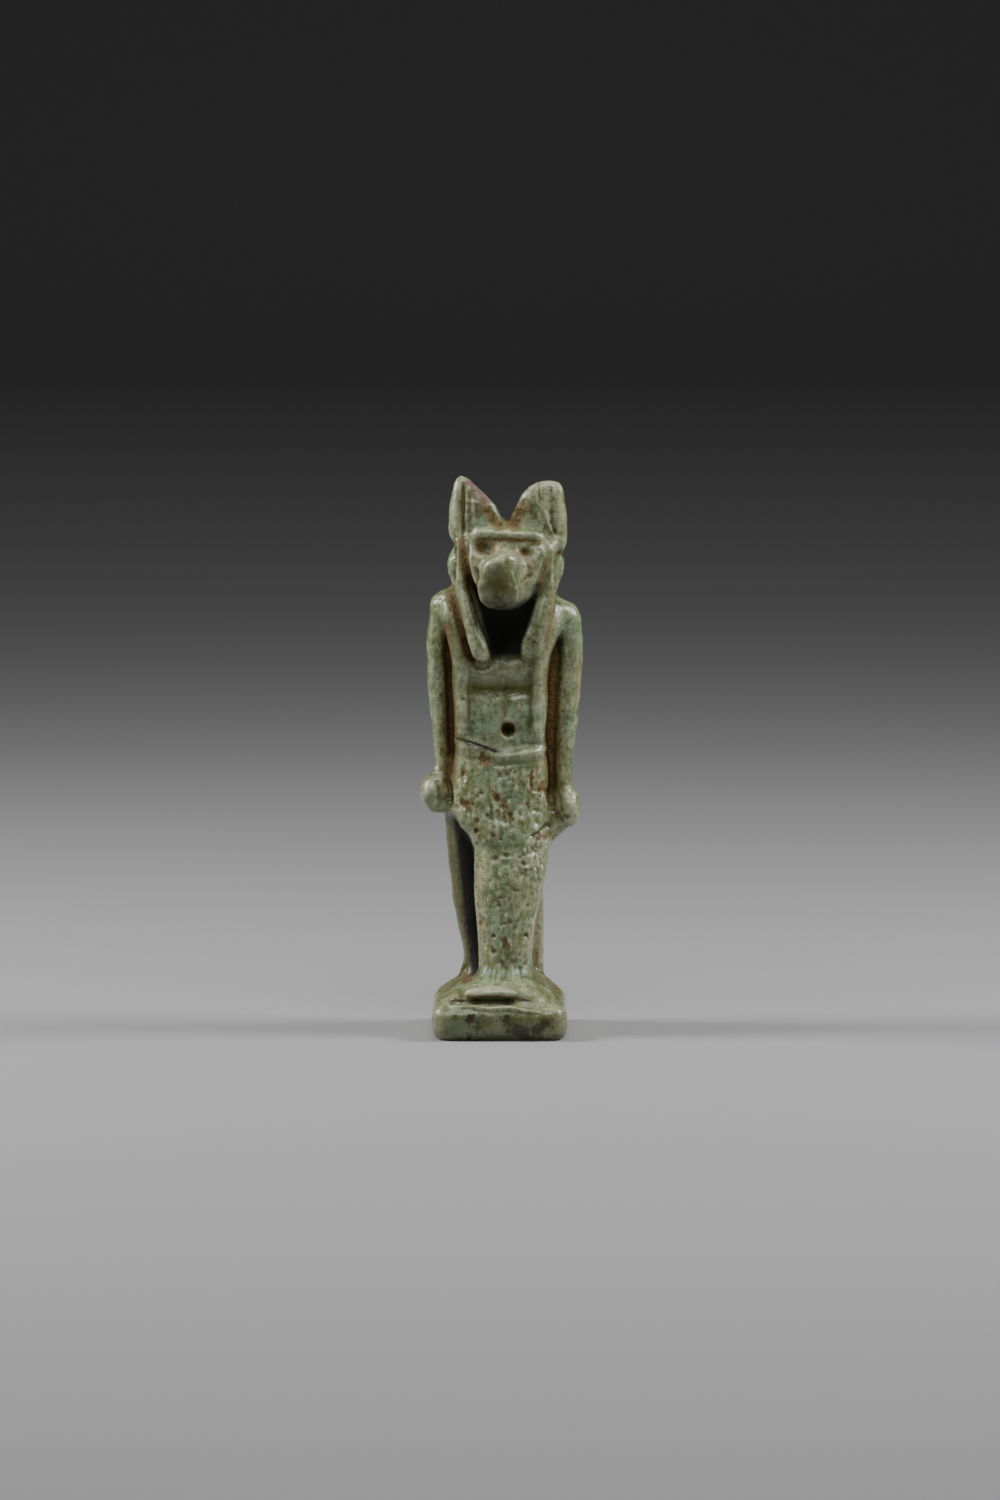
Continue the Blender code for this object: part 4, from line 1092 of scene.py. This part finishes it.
def faience():
    """Green glaze over a pale body: brown soil in its hollows and pits, nearly black patches of soil and
    manganese that are partly painted shade, black painted shadow, and a bare break.
    """
    g = Graph("green_faience")
    n = patterns(g)
    colour = glaze_colour(g, n)
    haze = g.times(g.ramp(g.mask("stain"), 0.22, 0.85), g.ramp(n.small, 0.2, 0.6))
    colour = g.coat(colour, SOIL_HAZE, haze, 0.8)

    broken = g.plus(g.times(g.maths("SUBTRACT", n.small, 0.5), 1.5), g.maths("SUBTRACT", n.grit, 0.5))
    soil = g.plus(g.plus(g.mask("stain"), g.times(g.mask("hollow"), 0.16)), broken)
    soil = g.ramp(soil, 0.4, 0.88)
    rare = g.times(g.ramp(n.dots["random"], 0.84, 0.86), g.ramp(n.middle, 0.44, 0.54))
    spots = g.times(g.times(g.ramp(n.dots["distance"], 0.22, 0.12), rare), 0.8)
    pits = g.times(g.mask("pit"), g.ramp(n.middle, 0.36, 0.56))
    soil = g.maths("MAXIMUM", soil, g.maths("MAXIMUM", pits, spots))
    colour = g.coat(colour, soil_grains(g, n), soil, 0.88)

    # Nearly black: soil and manganese on the plinth, and painted shade in creases, slots and hollows
    soot_and_shade = g.plus(g.mask("soot_and_shade"), g.times(g.maths("SUBTRACT", n.middle, 0.5), 1.8))
    soot_and_shade = g.ramp(g.plus(soot_and_shade, broken), 0.38, 0.88)
    colour = g.coat(colour, DARK_SOIL_AND_SHADE, soot_and_shade, 0.93)

    raw = g.times(g.mask("raw"), g.ramp(n.small, 0.24, 0.46))
    colour = g.mix(raw, colour, g.mix(g.ramp(n.small, 0.44, 0.6), ROSE, BARE_BROWN))
    # Painted shadow: near black under the muzzle, on the throat and in the gap behind the front leg
    g.put(g.shader.inputs["Base Color"], g.coat(colour, SHADOW_BLACK, g.mask("dark"), 0.99))

    dull = g.maths("MAXIMUM", soil, g.maths("MAXIMUM", raw, g.mask("dark")))
    rough = g.plus(0.14, g.times(n.small, 0.18))
    for mask, more in ((dull, 0.6), (g.mask("rosy"), 0.22), (g.mask("matte"), 0.3)):
        rough = g.plus(rough, g.times(mask, more), True)
    g.put(g.shader.inputs["Roughness"], rough)
    g.shader.inputs["IOR"].default_value = 1.58
    g.shader.inputs["Subsurface Weight"].default_value = 0.08
    g.shader.inputs["Subsurface Radius"].default_value = (0.6, 0.6, 0.35)
    g.shader.inputs["Subsurface Scale"].default_value = 0.0006

    height = g.plus(g.times(n.small, 1.2), g.times(n.middle, 0.6))
    height = g.plus(height, g.times(g.ramp(n.veins, 0.0, 0.08), 0.12))
    height = g.plus(height, g.times(n.grit, 0.25))
    height = g.maths("SUBTRACT", height, g.times(g.times(n.grains["distance"], soil), 0.8))
    bump = g.add("Bump", Height=height, Strength=0.55, Distance=0.00008)
    g.put(g.shader.inputs["Normal"], bump.outputs["Normal"])
    return g.material


def amulet():
    piece = fine_copy()
    clay = Clay(piece.data)
    clay.soften(3)
    round_the_plinth(clay)
    carve_ears(clay)
    carve_face(clay)
    carve_wig(clay)
    carve_trunk(clay)
    carve_kilt(clay)
    carve_fists(clay)
    carve_legs(clay)
    lumps(clay)
    break_ear(clay)
    wear(clay)
    seeds, sizes = small_pits(clay)
    clay.soften(1)
    thin_out(piece)
    masks(piece, seeds, sizes)
    piece.data.shade_smooth()
    piece.data.materials.clear()
    piece.data.materials.append(faience())
    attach(piece, "root")
    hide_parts(NODE)


camera()
lights()
ground()
amulet()
